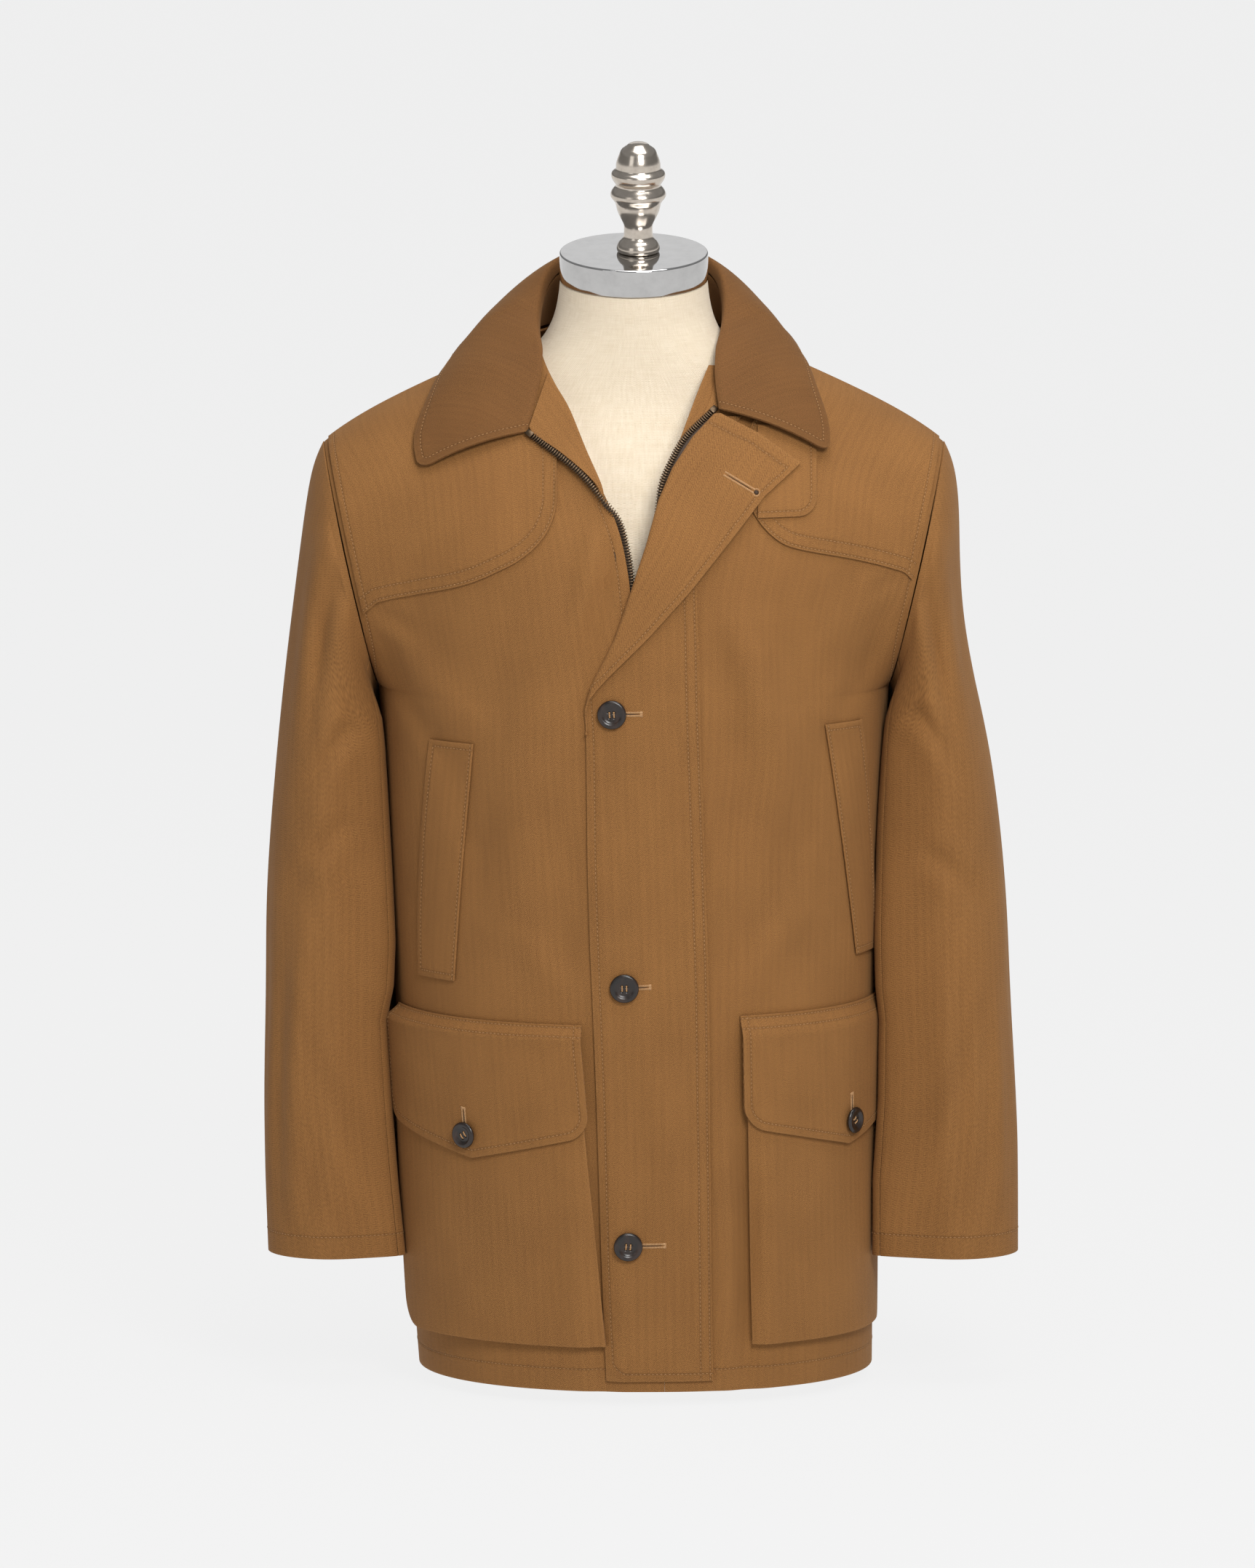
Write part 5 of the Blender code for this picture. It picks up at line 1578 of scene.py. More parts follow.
@dataclass(frozen=True)
class Collar:
    """The stand and the round fall of the collar."""

    # Station from the middle of the back, roll x, y, z, outer edge x and z, lift of the edge, fullness.
    right: Table = (
        (0.0, 0.000, 0.086, 0.898, 0.000, 0.812, 0.0075, 0.012),
        (1.0, 0.050, 0.066, 0.894, 0.070, 0.806, 0.0075, 0.014),
        (2.0, 0.072, 0.032, 0.880, 0.118, 0.807, 0.0075, 0.013),
        (3.0, 0.078, 0.000, 0.858, 0.144, 0.806, 0.0070, 0.010),
        (4.0, 0.0775, -0.032, 0.8400, 0.158, 0.7880, 0.0070, 0.008),
        (5.0, 0.0760, -0.068, 0.8150, 0.170, 0.7600, 0.0070, 0.007),
        (6.0, 0.0870, -0.108, 0.7710, 0.166, 0.7360, 0.0070, 0.005),
    )
    left: Table = (
        (0.0, 0.000, 0.086, 0.898, 0.000, 0.812, 0.0075, 0.012),
        (1.0, 0.050, 0.066, 0.894, 0.068, 0.806, 0.0075, 0.014),
        (2.0, 0.071, 0.032, 0.880, 0.108, 0.810, 0.0080, 0.012),
        (3.0, 0.074, 0.000, 0.858, 0.128, 0.813, 0.0090, 0.009),
        (4.0, 0.0710, -0.032, 0.8410, 0.140, 0.7920, 0.0105, 0.008),
        (5.0, 0.0670, -0.068, 0.8180, 0.149, 0.7680, 0.0115, 0.007),
        (6.0, 0.0700, -0.101, 0.7880, 0.150, 0.7470, 0.0115, 0.005),
    )
    wall: float = 2.2 * MM
    stand_wall: float = 1.6 * MM
    # Stations of the front corner and of the shoulder seam.
    last: float = 6.0
    shoulder: float = 3.0
    corner: float = 0.014
    # Way along the edge for a station, and way down the fall, where the corner is round.
    corner_way: float = 0.045
    corner_fall: float = 0.10
    # Station from which the fall passes from the back to the shoulder seam, and the stations that it takes.
    blend: Pair = (2.2, 0.8)
    seam_height: float = 0.8724
    roll_in: float = 3.2 * MM
    roll_top: float = 0.8
    roll_depth: float = 9.0 * MM
    roll_share: float = 0.16
    # Station from which the part inside the neck gets shorter, and the stations that it takes.
    inner_fade: Pair = (3.2, 1.6)
    inward_y: float = 0.6
    outward_rise: float = 1.2
    stand_foot: float = 3.6 * MM
    stand_end: float = 4.0
    stand_gap: float = 1.8 * MM
    stand_drop: float = 0.014
    edge_row: float = 0.006
    half_columns: int = 96
    rows: int = 56
    row_shares: tuple[float, ...] = (0.0, 0.06, 0.16, 0.30, 0.46, 0.62, 0.78, 0.90, 0.97, 1.0)
    stand_columns: int = 120
    stand_rows: int = 10
    # Soft creases of the fall: station and share where they start and end.
    creases: tuple[Crease, ...] = (
        Crease((-4.6, 0.20), (-3.2, 0.75), -0.0016, 0.22, 0.0, 0.4),
        Crease((3.0, 0.25), (4.4, 0.70), -0.0016, 0.22, 0.0, 0.4),
        Crease((-0.4, 0.30), (0.6, 0.80), 0.0012, 0.30, 0.0, 0.5),
    )

    @functools.cached_property
    def halves(self) -> dict[int, Spline]:
        """The collar by station on each side, -1 for the wearer's right."""
        return {-1: Spline(self.right), 1: Spline(self.left)}

    def roll(self, station: Array) -> tuple[Array, Array, Array, Array]:
        """The roll of the collar.

        Args:
            station: signed stations, below 0 on the wearer's right.
        Returns:
            The side, the table's row, the points of the roll and the way towards the neck there.
        """
        side = np.where(station < 0, -1, 1)
        row = np.where(station < 0, self.halves[-1](np.abs(station)), self.halves[1](np.abs(station)))
        roll = np.stack([side * row[0], row[1], row[2]], -1)
        inward = unit(np.stack([-roll[..., 0], -self.inward_y * roll[..., 1], np.zeros(station.shape)], -1))
        return side, row, roll, inward

    def inner(self, station: Array) -> Array:
        """How far the fall reaches down inside the neck."""
        start, run = self.inner_fade
        return self.roll_depth * (1 - smooth_step((np.abs(station) - start) / run))

    def fall_points(self, station: Array, share: Array) -> Array:
        """The fall: over the roll from inside the neck, then down to the outer edge.

        Args:
            station: signed stations, one for each column.
            share: shares of the way from inside the neck to the outer edge, one for each row.
        Returns:
            The points by row and column.
        """
        side, row, roll, inward = self.roll(station)
        edge_x, edge_z, lift, full = row[3:]
        away = np.abs(station)
        from_corner = np.clip(self.last - away, 0.0, None) * self.corner_way
        reach = 1 - corner_cut(from_corner, self.corner) / self.corner_fall
        blend = smooth_step((away - self.blend[0]) / self.blend[1])
        level = TORSO.level_at(edge_x, np.minimum(edge_z, self.seam_height), 1)
        behind = TORSO.lifted(side * edge_x, between(level, TORSO.ridge, blend), 1, lift)
        before = TORSO.lifted(side * edge_x, TORSO.level_at(edge_x, edge_z, -1), -1, lift)
        edge = np.where((away < self.shoulder)[:, None], behind, before)
        down = np.stack([np.zeros_like(station), np.zeros_like(station), -self.inner(station)], -1)
        foot = roll + inward * self.roll_in + down
        top = roll + inward * self.roll_in * self.roll_top
        turn = np.clip(share / self.roll_share, 0.0, 1.0)[:, None, None]
        rolled = foot * (1 - turn) ** 2 + 2 * top * turn * (1 - turn) + roll * turn**2
        fall = np.clip((share - self.roll_share) / (1 - self.roll_share), 0.0, 1.0)[:, None, None] * reach[:, None]
        outward = unit(np.stack([-inward[:, 0], -inward[:, 1], np.full(station.shape, self.outward_rise)], -1))
        soft = sum(crease.height(station[None, :], share[:, None]) for crease in self.creases)
        bulge = full[:, None] * 4 * fall * (1 - fall) + soft[..., None]
        fallen = between(roll, edge, fall) + outward * bulge
        return np.where((share < self.roll_share)[:, None, None], rolled, fallen)

    def stand_points(self, station: Array, share: Array) -> Array:
        """The stand, from the neck seam up to the fall.

        Args:
            station: signed stations, one for each column.
            share: shares of the way up, one for each row.
        Returns:
            The points by row and column.
        """
        side, _, roll, inward = self.roll(station)
        away = np.abs(station)
        top = roll + inward * self.roll_in
        top[:, 2] -= self.inner(station) + self.stand_gap
        turn = np.minimum(away / self.shoulder, 1.0) * math.pi / 2
        level = TORSO.ridge - (TORSO.ridge - PANELS.neck_level_back) * np.cos(turn)
        behind = TORSO.lifted(side * PANELS.neck_point * np.sin(turn), level, 1, self.stand_foot)
        along = (away - self.shoulder) / (self.stand_end - self.shoulder)
        z = PANELS.neck_edge[-1][0] - self.stand_drop * along
        x = np.where(side < 0, PANELS.front_edge(z, -1), PANELS.front_edge(z, 1))
        before = TORSO.lifted(x, TORSO.level_at(x, z, -1), -1, self.stand_foot)
        foot = np.where((away < self.shoulder)[:, None], behind, before)
        return between(foot, top, share[:, None, None])

    def build(self) -> None:
        """Makes both pieces."""
        half = self.last * np.sin(np.pi / 2 * even(self.half_columns))
        stations = np.concatenate([-half[:0:-1], half])
        points = self.fall_points(stations, finer(self.row_shares, self.rows))
        edges = (FIRST, LAST, HIGH)
        fall = Cloth("collar_fall", points, self.wall, (seam(self.edge_row, *edges),), two_faced=True, worn=edges)
        fall.build(COLLAR_COTTON, COLLAR_SLOT, "folded", ("collar_stand", "front_left", "front_right", "back"))
        spread = self.stand_end * np.linspace(-1.0, 1.0, self.stand_columns + 1)
        stand = Cloth("collar_stand", self.stand_points(spread, even(self.stand_rows)), self.stand_wall)
        stand.build(COLLAR_COTTON, COLLAR_SLOT, "hung", ("back", "front_left", "front_right"))


@dataclass(frozen=True)
class ShoulderPatches:
    """The patches over both shoulders and the throat tab under the left collar point."""

    # x, lower edge on the right, lower edge on the left.
    edge: Table = (
        (0.060, 0.6780, 0.7040),
        (0.090, 0.6720, 0.6940),
        (0.130, 0.6540, 0.6800),
        (0.180, 0.6380, 0.6670),
        (0.235, 0.6210, 0.6480),
    )
    inner: Pair = (0.060, 0.084)
    outer: float = 0.231
    corner: float = 0.045
    clear: float = 4.0 * MM
    top_gap: float = 1.5 * MM
    # How far the inner edge is drawn from the neck, the level where that starts and the run that it takes.
    neck_draw: Triple = (0.034, 0.73, 0.10)
    lift: float = 2.8 * MM
    # How far the patch settles at the shoulder seam, the level where that starts and the run that it takes.
    settle: Triple = (0.9 * MM, 0.800, 0.035)
    wall: float = 1.4 * MM
    rows: Pair = (2.2 * MM, 11.0 * MM)
    armhole_row: float = 5.0 * MM
    grid: tuple[int, int] = (72, 84)
    tab_x: Pair = (0.096, 0.142)
    tab_z: Pair = (0.705, 0.772)
    tab_corner: float = 0.014
    tab_lift: float = 5.0 * MM
    tab_row: float = 4.5 * MM
    tab_grid: tuple[int, int] = (36, 40)

    def patch(self, name: str, side: int) -> None:
        """One patch, from its curved lower edge up to the shoulder seam.

        Args:
            name: its side in names of pieces.
            side: -1 for the wearer's right, 1 for the left.
        """
        column = 0 if side < 0 else 1
        inner = self.inner[column]
        edge_at = Spline([(row[0], row[1 + column]) for row in self.edge])
        u = dense_ends(self.grid[0], end=False)[None, :]
        share = dense_ends(self.grid[1], start=False)[:, None]
        low = between(inner, self.outer, u)
        foot = TORSO.level_at(low, edge_at(low)[0] + corner_cut(low - inner, self.corner), -1)
        level = between(foot, TORSO.ridge - self.top_gap, share)
        draw, start, run = self.neck_draw
        top_inner = inner + draw * smooth_step((level - start) / run)
        outer = TORSO.row(level, -1)[2] - self.clear
        settle, start, run = self.settle
        lift = self.lift - settle * smooth_step((level - start) / run)
        points = TORSO.lifted(side * between(top_inner, outer, u), level, -1, lift)
        seams = (*(seam(row, LOW, FIRST) for row in self.rows), seam(self.armhole_row, LAST))
        patch = Cloth(f"shoulder_patch_{name}", points, self.wall, seams, worn=(LOW, FIRST))
        patch.build(COTTON, COTTON_SLOT, "laid", (f"front_{name}",))

    def tab(self) -> None:
        """The throat tab, its outer lower corner round."""
        x = between(*self.tab_x, dense_ends(self.tab_grid[0], start=False)[None, :])
        low = self.tab_z[0] + corner_cut(self.tab_x[1] - x, self.tab_corner)
        z = between(low, self.tab_z[1], even(self.tab_grid[1])[:, None])
        points = TORSO.on_front(np.broadcast_to(x, z.shape), z, self.tab_lift)
        tab = Cloth("throat_tab", points, self.wall, (seam(self.tab_row, LOW, LAST),), worn=(LOW, LAST))
        tab.build(COTTON, COTTON_SLOT, "laid", ("shoulder_patch_left",))

    def build(self) -> None:
        """Makes both patches and the tab."""
        self.patch("right", -1)
        self.patch("left", 1)
        self.tab()


@dataclass(frozen=True)
class StormFly:
    """The fly over the zip: flat over the buttons, then rolled and turned back as a lapel."""

    # Height, sewn edge, free edge or fold, width that is turned back.
    shape: Table = (
        (0.0200, 0.0625, -0.0206, 0.0000),
        (0.1500, 0.0610, -0.0255, 0.0000),
        (0.3200, 0.0587, -0.0320, 0.0000),
        (0.4500, 0.0550, -0.0360, 0.0000),
        (0.5350, 0.0520, -0.0370, 0.0000),
        (0.5650, 0.0510, -0.0350, 0.0040),
        (0.5850, 0.0505, -0.0265, 0.0150),
        (0.6100, 0.0500, -0.0140, 0.0280),
        (0.6500, 0.0490, 0.0000, 0.0500),
        (0.6850, 0.0500, 0.0120, 0.0670),
        (0.7200, 0.0560, 0.0220, 0.0860),
        (0.7430, 0.0620, 0.0325, 0.1040),
        (0.7650, 0.0720, 0.0480, 0.0560),
        (0.7800, 0.0840, 0.0640, 0.0100),
    )
    # Heights that get a row of their own besides those of the shape.
    more_heights: tuple[float, ...] = (0.235, 0.55, 0.575, 0.598, 0.63, 0.668, 0.703, 0.732, 0.755)
    lift: float = 2.8 * MM
    wall: float = 1.6 * MM
    roll: float = 2.4 * MM
    # Shares of the columns where the flat part and the roll end.
    flat_lines: float = 0.30
    roll_lines: float = 0.58
    turn_from: float = 0.520
    turn_full: float = 0.590
    # Below a height the outline is softened over a way, in steps; then that fades over a run.
    soften: float = 0.016
    soften_steps: int = 9
    soften_fade: Pair = (0.60, 0.03)
    edge_row: float = 6.0 * MM
    sewn_rows: Pair = (2.5 * MM, 10.0 * MM)
    columns: int = 84
    rows: int = 200

    def build(self) -> None:
        """Makes the fly."""
        table = np.array(self.shape)
        heights = finer(sorted([*table[:, 0], *self.more_heights]), self.rows)
        z = np.unique(np.concatenate([heights, table[:, 0]]))[:, None]
        share = even(self.columns)[None, :]
        start, run = self.soften_fade
        soft = self.soften * (1 - smooth_step((z - start) / run)) * np.linspace(-1.0, 1.0, self.soften_steps)
        sewn, fold, turned_back = (
            np.interp(z + soft, table[:, 0], column).mean(1, keepdims=True) for column in table[:, 1:].T
        )
        flat = sewn - fold
        rolled = np.minimum(turned_back, math.pi * self.roll)
        whole = flat + np.maximum(turned_back, rolled)
        low = share / self.flat_lines * flat
        middle = flat + (share - self.flat_lines) / (self.roll_lines - self.flat_lines) * rolled
        high = flat + rolled + (share - self.roll_lines) / (1 - self.roll_lines) * (whole - flat - rolled)
        lines = np.where(share < self.flat_lines, low, np.where(share < self.roll_lines, middle, high))
        turning = smooth_step((z - self.turn_from) / (self.turn_full - self.turn_from))
        way = share * whole * (1 - turning) + lines * turning
        turn = np.clip((way - flat) / self.roll, 0.0, np.maximum(rolled, 1e-9) / self.roll)
        over = way > flat + rolled
        x = np.where(way <= flat, sewn - way, fold - self.roll * np.sin(turn))
        x = np.where(over, fold + way - flat - rolled, x)
        lift = np.where(way <= flat, self.lift, self.lift + self.roll * (1 - np.cos(turn)))
        lift = np.where(over, self.lift + 2 * self.roll, lift)
        z = np.broadcast_to(z, x.shape)
        seams = (*(seam(row, FIRST) for row in self.sewn_rows), seam(self.edge_row, LAST, LOW, HIGH))
        points, laid_flat = TORSO.on_front(x, z, lift), np.stack([way, z], -1)
        fly = Cloth("storm_fly", points, self.wall, seams, laid_flat, two_faced=True, worn=(LAST, LOW, HIGH))
        fly.build(COTTON, COTTON_SLOT, "folded", ("front_left", "front_right"))


@dataclass(frozen=True)
class Welts:
    """The hand-warmer welts."""

    # Height and x of the inner edge at the foot, then at the top.
    right: tuple[Pair, Pair] = ((0.3355, -0.1400), (0.5270, -0.1250))
    left: tuple[Pair, Pair] = ((0.3510, 0.1740), (0.5400, 0.1490))
    width: float = 0.044
    bow: float = 0.004
    lift: float = 2.8 * MM
    wall: float = 1.4 * MM
    edge_row: float = 5.0 * MM
    sewn_row: float = 2.5 * MM
    columns: int = 24
    rows: int = 90

    def build(self) -> None:
        """Makes both welts."""
        u, share = even(self.columns)[None, :], even(self.rows)[:, None]
        for name, side, (foot, top) in (("right", -1, self.right), ("left", 1, self.left)):
            z = between(foot[0], top[0], share)
            start = between(TORSO.way_at(foot[1], foot[0]), TORSO.way_at(top[1], top[0]), share)
            width = self.width + self.bow * 4 * share * (1 - share)
            points = TORSO.around(start + side * width * u, z, self.lift)
            seams = (seam(self.edge_row, LAST, LOW, HIGH), seam(self.sewn_row, FIRST))
            welt = Cloth(f"welt_{name}", points, self.wall, seams, worn=(FIRST, LAST, LOW, HIGH))
            welt.build(COTTON, COTTON_SLOT, "laid", (f"front_{name}",))


@dataclass(frozen=True)
class BellowsPocket:
    """One bellows pocket with its gusset and pointed flap."""

    name: str
    side: int
    edge: Pair
    flap_top: float
    side_lift: float
    flare: float
    top: float = 0.292
    foot: float = 0.048
    width: float = 0.186
    wall: float = 2.8 * MM
    lift: float = 6.0 * MM
    # Share of the width where the lift starts to change to that of the side, and the share that it takes.
    side_change: Pair = (0.45, 0.5)
    corner: float = 0.024
    grid: int = 96
    cloth: float = 1.6 * MM
    gusset_inset: float = 6.0 * MM
    gusset_wall: float = 1.2 * MM
    gusset_fold: float = 5.5 * MM
    # The gusset ends below the pocket's top and at a share of its width, with gaps to the coat and the pocket.
    gusset_top: float = 0.004
    gusset_end: float = 0.76
    gusset_gaps: Pair = (0.5 * MM, 0.8 * MM)
    gusset_steps: tuple[int, int, int] = (40, 80, 40)
    gusset_folds: int = 8
    # Share of the gusset's way, then how much its fold points away from the inner edge; it points up at 0.
    gusset_turns: Table = ((0.0, 1.0), (0.24, 1.0), (0.26, 0.0), (0.74, 0.0), (0.76, -1.0), (1.0, -1.0))
    flap_side_drop: float = 0.088
    flap_point_drop: float = 0.111
    flap_wall: float = 2.0 * MM
    flap_over: float = 4.0 * MM
    flap_corner: float = 0.016
    flap_lift: float = 2.8 * MM
    flap_gap: float = 1.2 * MM
    flap_hinge: float = 0.003
    flap_rows: Triple = (2.5 * MM, 11.0 * MM, 6.0 * MM)
    flap_shares: tuple[float, ...] = (0.0, 0.06, 0.12, 0.19, 0.34, 0.50, 0.66, 0.82, 1.0)
    flap_grid: tuple[int, int] = (112, 80)
    button_place: Pair = (0.52, 0.84)

    def way(self, z: Array) -> Array:
        """The way round to the pocket's inner edge at a height."""
        share = np.clip((self.top - np.asarray(z)) / (self.top - self.foot), 0.0, None)
        return between(TORSO.way_at(self.edge[0], self.top), TORSO.way_at(self.edge[1], self.foot), share)

    def off(self, u: Array) -> Array:
        """How far the bellows hold the pocket off the coat."""
        start, run = self.side_change
        return between(self.lift, self.side_lift, smooth_step((u - start) / run))

    @property
    def flap_width(self) -> float:
        """The width of the flap."""
        return self.width + 2 * self.flap_over

    def flap_points(self, u: Array, share: Array) -> Array:
        """Points of the flap by shares of the way across and of the way down.

        Args:
            u: shares of the way across.
            share: shares of the way down.
        Returns:
            The points.
        """
        cut = corner_cut(np.minimum(u, 1 - u) * self.flap_width, self.flap_corner)
        drop = between(self.flap_side_drop, self.flap_point_drop, 1 - np.abs(2 * u - 1))
        z = self.flap_top - (drop - cut) * share
        over = smooth_step((self.flap_top - z) / (self.flap_top - self.top - self.flap_hinge))
        high = self.off(u) + self.wall / 2 + self.flap_wall / 2 + self.flap_gap
        way = self.way(z) + self.side * (self.flap_width * u - self.flap_over)
        return TORSO.around(way, z, between(self.flap_lift, high, over))

    def on_flap(self, aside: Array, down: Array) -> Array:
        """Points on the flap, measured from its button across and down.

        Args:
            aside: ways across.
            down: ways down.
        Returns:
            The points.
        """
        u = self.button_place[0] + self.side * np.asarray(aside) / self.flap_width
        share = self.button_place[1] + np.asarray(down) / self.flap_point_drop
        return self.flap_points(u, share)

    def gusset(self) -> None:
        """The strip between the coat and the pocket: down the inner side, along the foot and up the outer side."""
        top, foot = self.top - self.gusset_top, self.foot + self.gusset_inset
        low, high = self.gusset_inset / self.width, self.gusset_end
        down, along, up = (even(steps) for steps in self.gusset_steps)
        down, along, up = down[:, None], along[1:, None], up[1:, None]
        u = np.concatenate([np.full_like(down, low), between(low, high, along), np.full_like(up, high)])
        z = np.concatenate([between(top, foot, down), np.full_like(along, foot), between(foot, top, up)])
        fold = even(self.gusset_folds)[None, :]
        near = self.cloth / 2 + self.gusset_gaps[0]
        lift = between(near, self.off(u) - self.wall / 2 - self.gusset_gaps[1], fold)
        # The strip is folded inwards, so each place moves towards the middle of the pocket.
        inwards = self.gusset_fold * (1 - np.abs(2 * fold - 1))
        turn = np.interp(even(len(u) - 1)[:, None], *np.array(self.gusset_turns).T)
        way = self.way(z) + self.side * (self.width * u + inwards * turn)
        points = TORSO.around(way, z + inwards * (1 - np.abs(turn)), lift)
        strip = Cloth(f"gusset_{self.name}", points, self.gusset_wall)
        strip.build(COTTON, COTTON_SLOT, "folded", (f"front_{self.name}",))

    def build(self) -> None:
        """Makes the gusset, the pocket front and the flap."""
        self.gusset()
        u, share = dense_ends(self.grid, start=False)[None, :], even(self.grid)[:, None]
        bottom = self.foot + corner_cut((1 - u) * self.width, self.corner)
        z = between(self.top, bottom, share)
        width = self.width + self.flare * smooth_step((self.top - z) / (self.top - self.foot))
        points = TORSO.around(self.way(z) + self.side * width * u, z, self.off(u))
        pocket = Cloth(f"pocket_{self.name}", points, self.wall, worn=(FIRST, LAST, HIGH))
        pocket.build(COTTON, COTTON_SLOT, "hung", (f"gusset_{self.name}",))
        across, down = self.flap_grid
        points = self.flap_points(dense_ends(across)[None, :], finer(self.flap_shares, down)[:, None])
        first, second, edge = self.flap_rows
        seams = (seam(first, LOW), seam(second, LOW), seam(edge, FIRST, LAST, HIGH))
        flap = Cloth(f"flap_{self.name}", points, self.flap_wall, seams, worn=(FIRST, LAST, HIGH))
        flap.build(COTTON, COTTON_SLOT, "hung", (f"front_{self.name}", f"pocket_{self.name}"))


POCKETS = (
    BellowsPocket("right", -1, (-0.0445, -0.0215), 0.307, 10.0 * MM, 0.012),
    BellowsPocket("left", 1, (0.0870, 0.0920), 0.313, 3.4 * MM, 0.0),
)


@dataclass(frozen=True)
class Buttonhole:
    """A worked buttonhole: a slit painted dark as shade, a purl of thread down both sides, and a bar or a round
    eye at its end.
    """

    name: str
    # Gives points just above the cloth for places across and up it.
    place: Place
    start: Pair
    end: Pair
    # Radius of a round eye at the end, or 0 for a bar.
    eyelet: float = 0.0
    # Each bite of thread has a half length; those of the purl and the bar lie aside of the slit.
    purl_pitch: float = 0.75 * MM
    purl_aside: float = 1.25 * MM
    purl_half: float = 1.05 * MM
    bar_ways: Triple = (-0.3 * MM, 0.35 * MM, 1.0 * MM)
    bar_aside: float = 0.9 * MM
    bar_half: float = 1.9 * MM
    eye_shift: float = 0.8
    eye_turn: float = 0.8 * math.pi
    eye_bites: int = 15
    eye_gap: float = 0.3 * MM
    eye_half: float = 0.8 * MM
    # Half width and half height of a bite and of the slit.
    bite: Pair = (0.40 * MM, 0.55 * MM)
    slit: Pair = (0.40 * MM, 0.30 * MM)
    probe: float = 0.5 * MM

    def lay(self, shape: Shape, spot: Array, ray: Array, size: Triple) -> None:
        """Lays one small rounded shape along a ray on the cloth.

        Args:
            shape: the shape that it is added to.
            spot: its place across and up the cloth.
            ray: its direction there.
            size: its half sizes along the ray, aside and up.
        """
        square = np.array([-ray[1], ray[0]])
        steps = (ray * self.probe, square * self.probe)
        ahead, cross = (self.place(*(spot + step)) - self.place(*(spot - step)) for step in steps)
        normal = np.cross(ahead, cross)
        matrix = basis(ahead, -normal if normal[1] > 0 else normal, self.place(*spot), size)
        bmesh.ops.create_icosphere(shape, subdivisions=1, radius=1.0, matrix=matrix)

    def build(self) -> None:
        """Makes the purl and the slit, a dark shape that paints the shade in the cut."""
        run = np.subtract(self.end, self.start)
        length = float(np.linalg.norm(run))
        along = run / length
        aside = np.array([-along[1], along[0]])
        eye = self.end + along * self.eyelet * self.eye_shift
        bites = []
        for way in np.arange(0.0, length, self.purl_pitch):
            for side in (-self.purl_aside, self.purl_aside):
                bites.append((self.start + along * way + aside * side, aside, self.purl_half))
        if self.eyelet:
            for turn in np.linspace(-self.eye_turn, self.eye_turn, self.eye_bites):
                ray = along * math.cos(turn) + aside * math.sin(turn)
                bites.append((eye + ray * (self.eyelet + self.eye_gap), ray, self.eye_half))
        else:
            for way in self.bar_ways:
                for side in (-self.bar_aside, self.bar_aside):
                    bites.append((self.end + along * way + aside * side, aside, self.bar_half))
        purl, slit = bmesh.new(), bmesh.new()
        for spot, ray, half in bites:
            self.lay(purl, spot, ray, (half, *self.bite))
        # The slit and the eye are dark shapes laid on the cloth: painted shade where the cut opens.
        self.lay(slit, self.start + run / 2, along, (length / 2, *self.slit))
        if self.eyelet:
            self.lay(slit, eye, along, (self.eyelet, self.eyelet, self.slit[1]))
        add_piece(f"{self.name}_purl", purl, BUTTON_THREAD)
        add_piece(f"{self.name}_slit", slit, TAPE_AND_SLIT_SHADE)


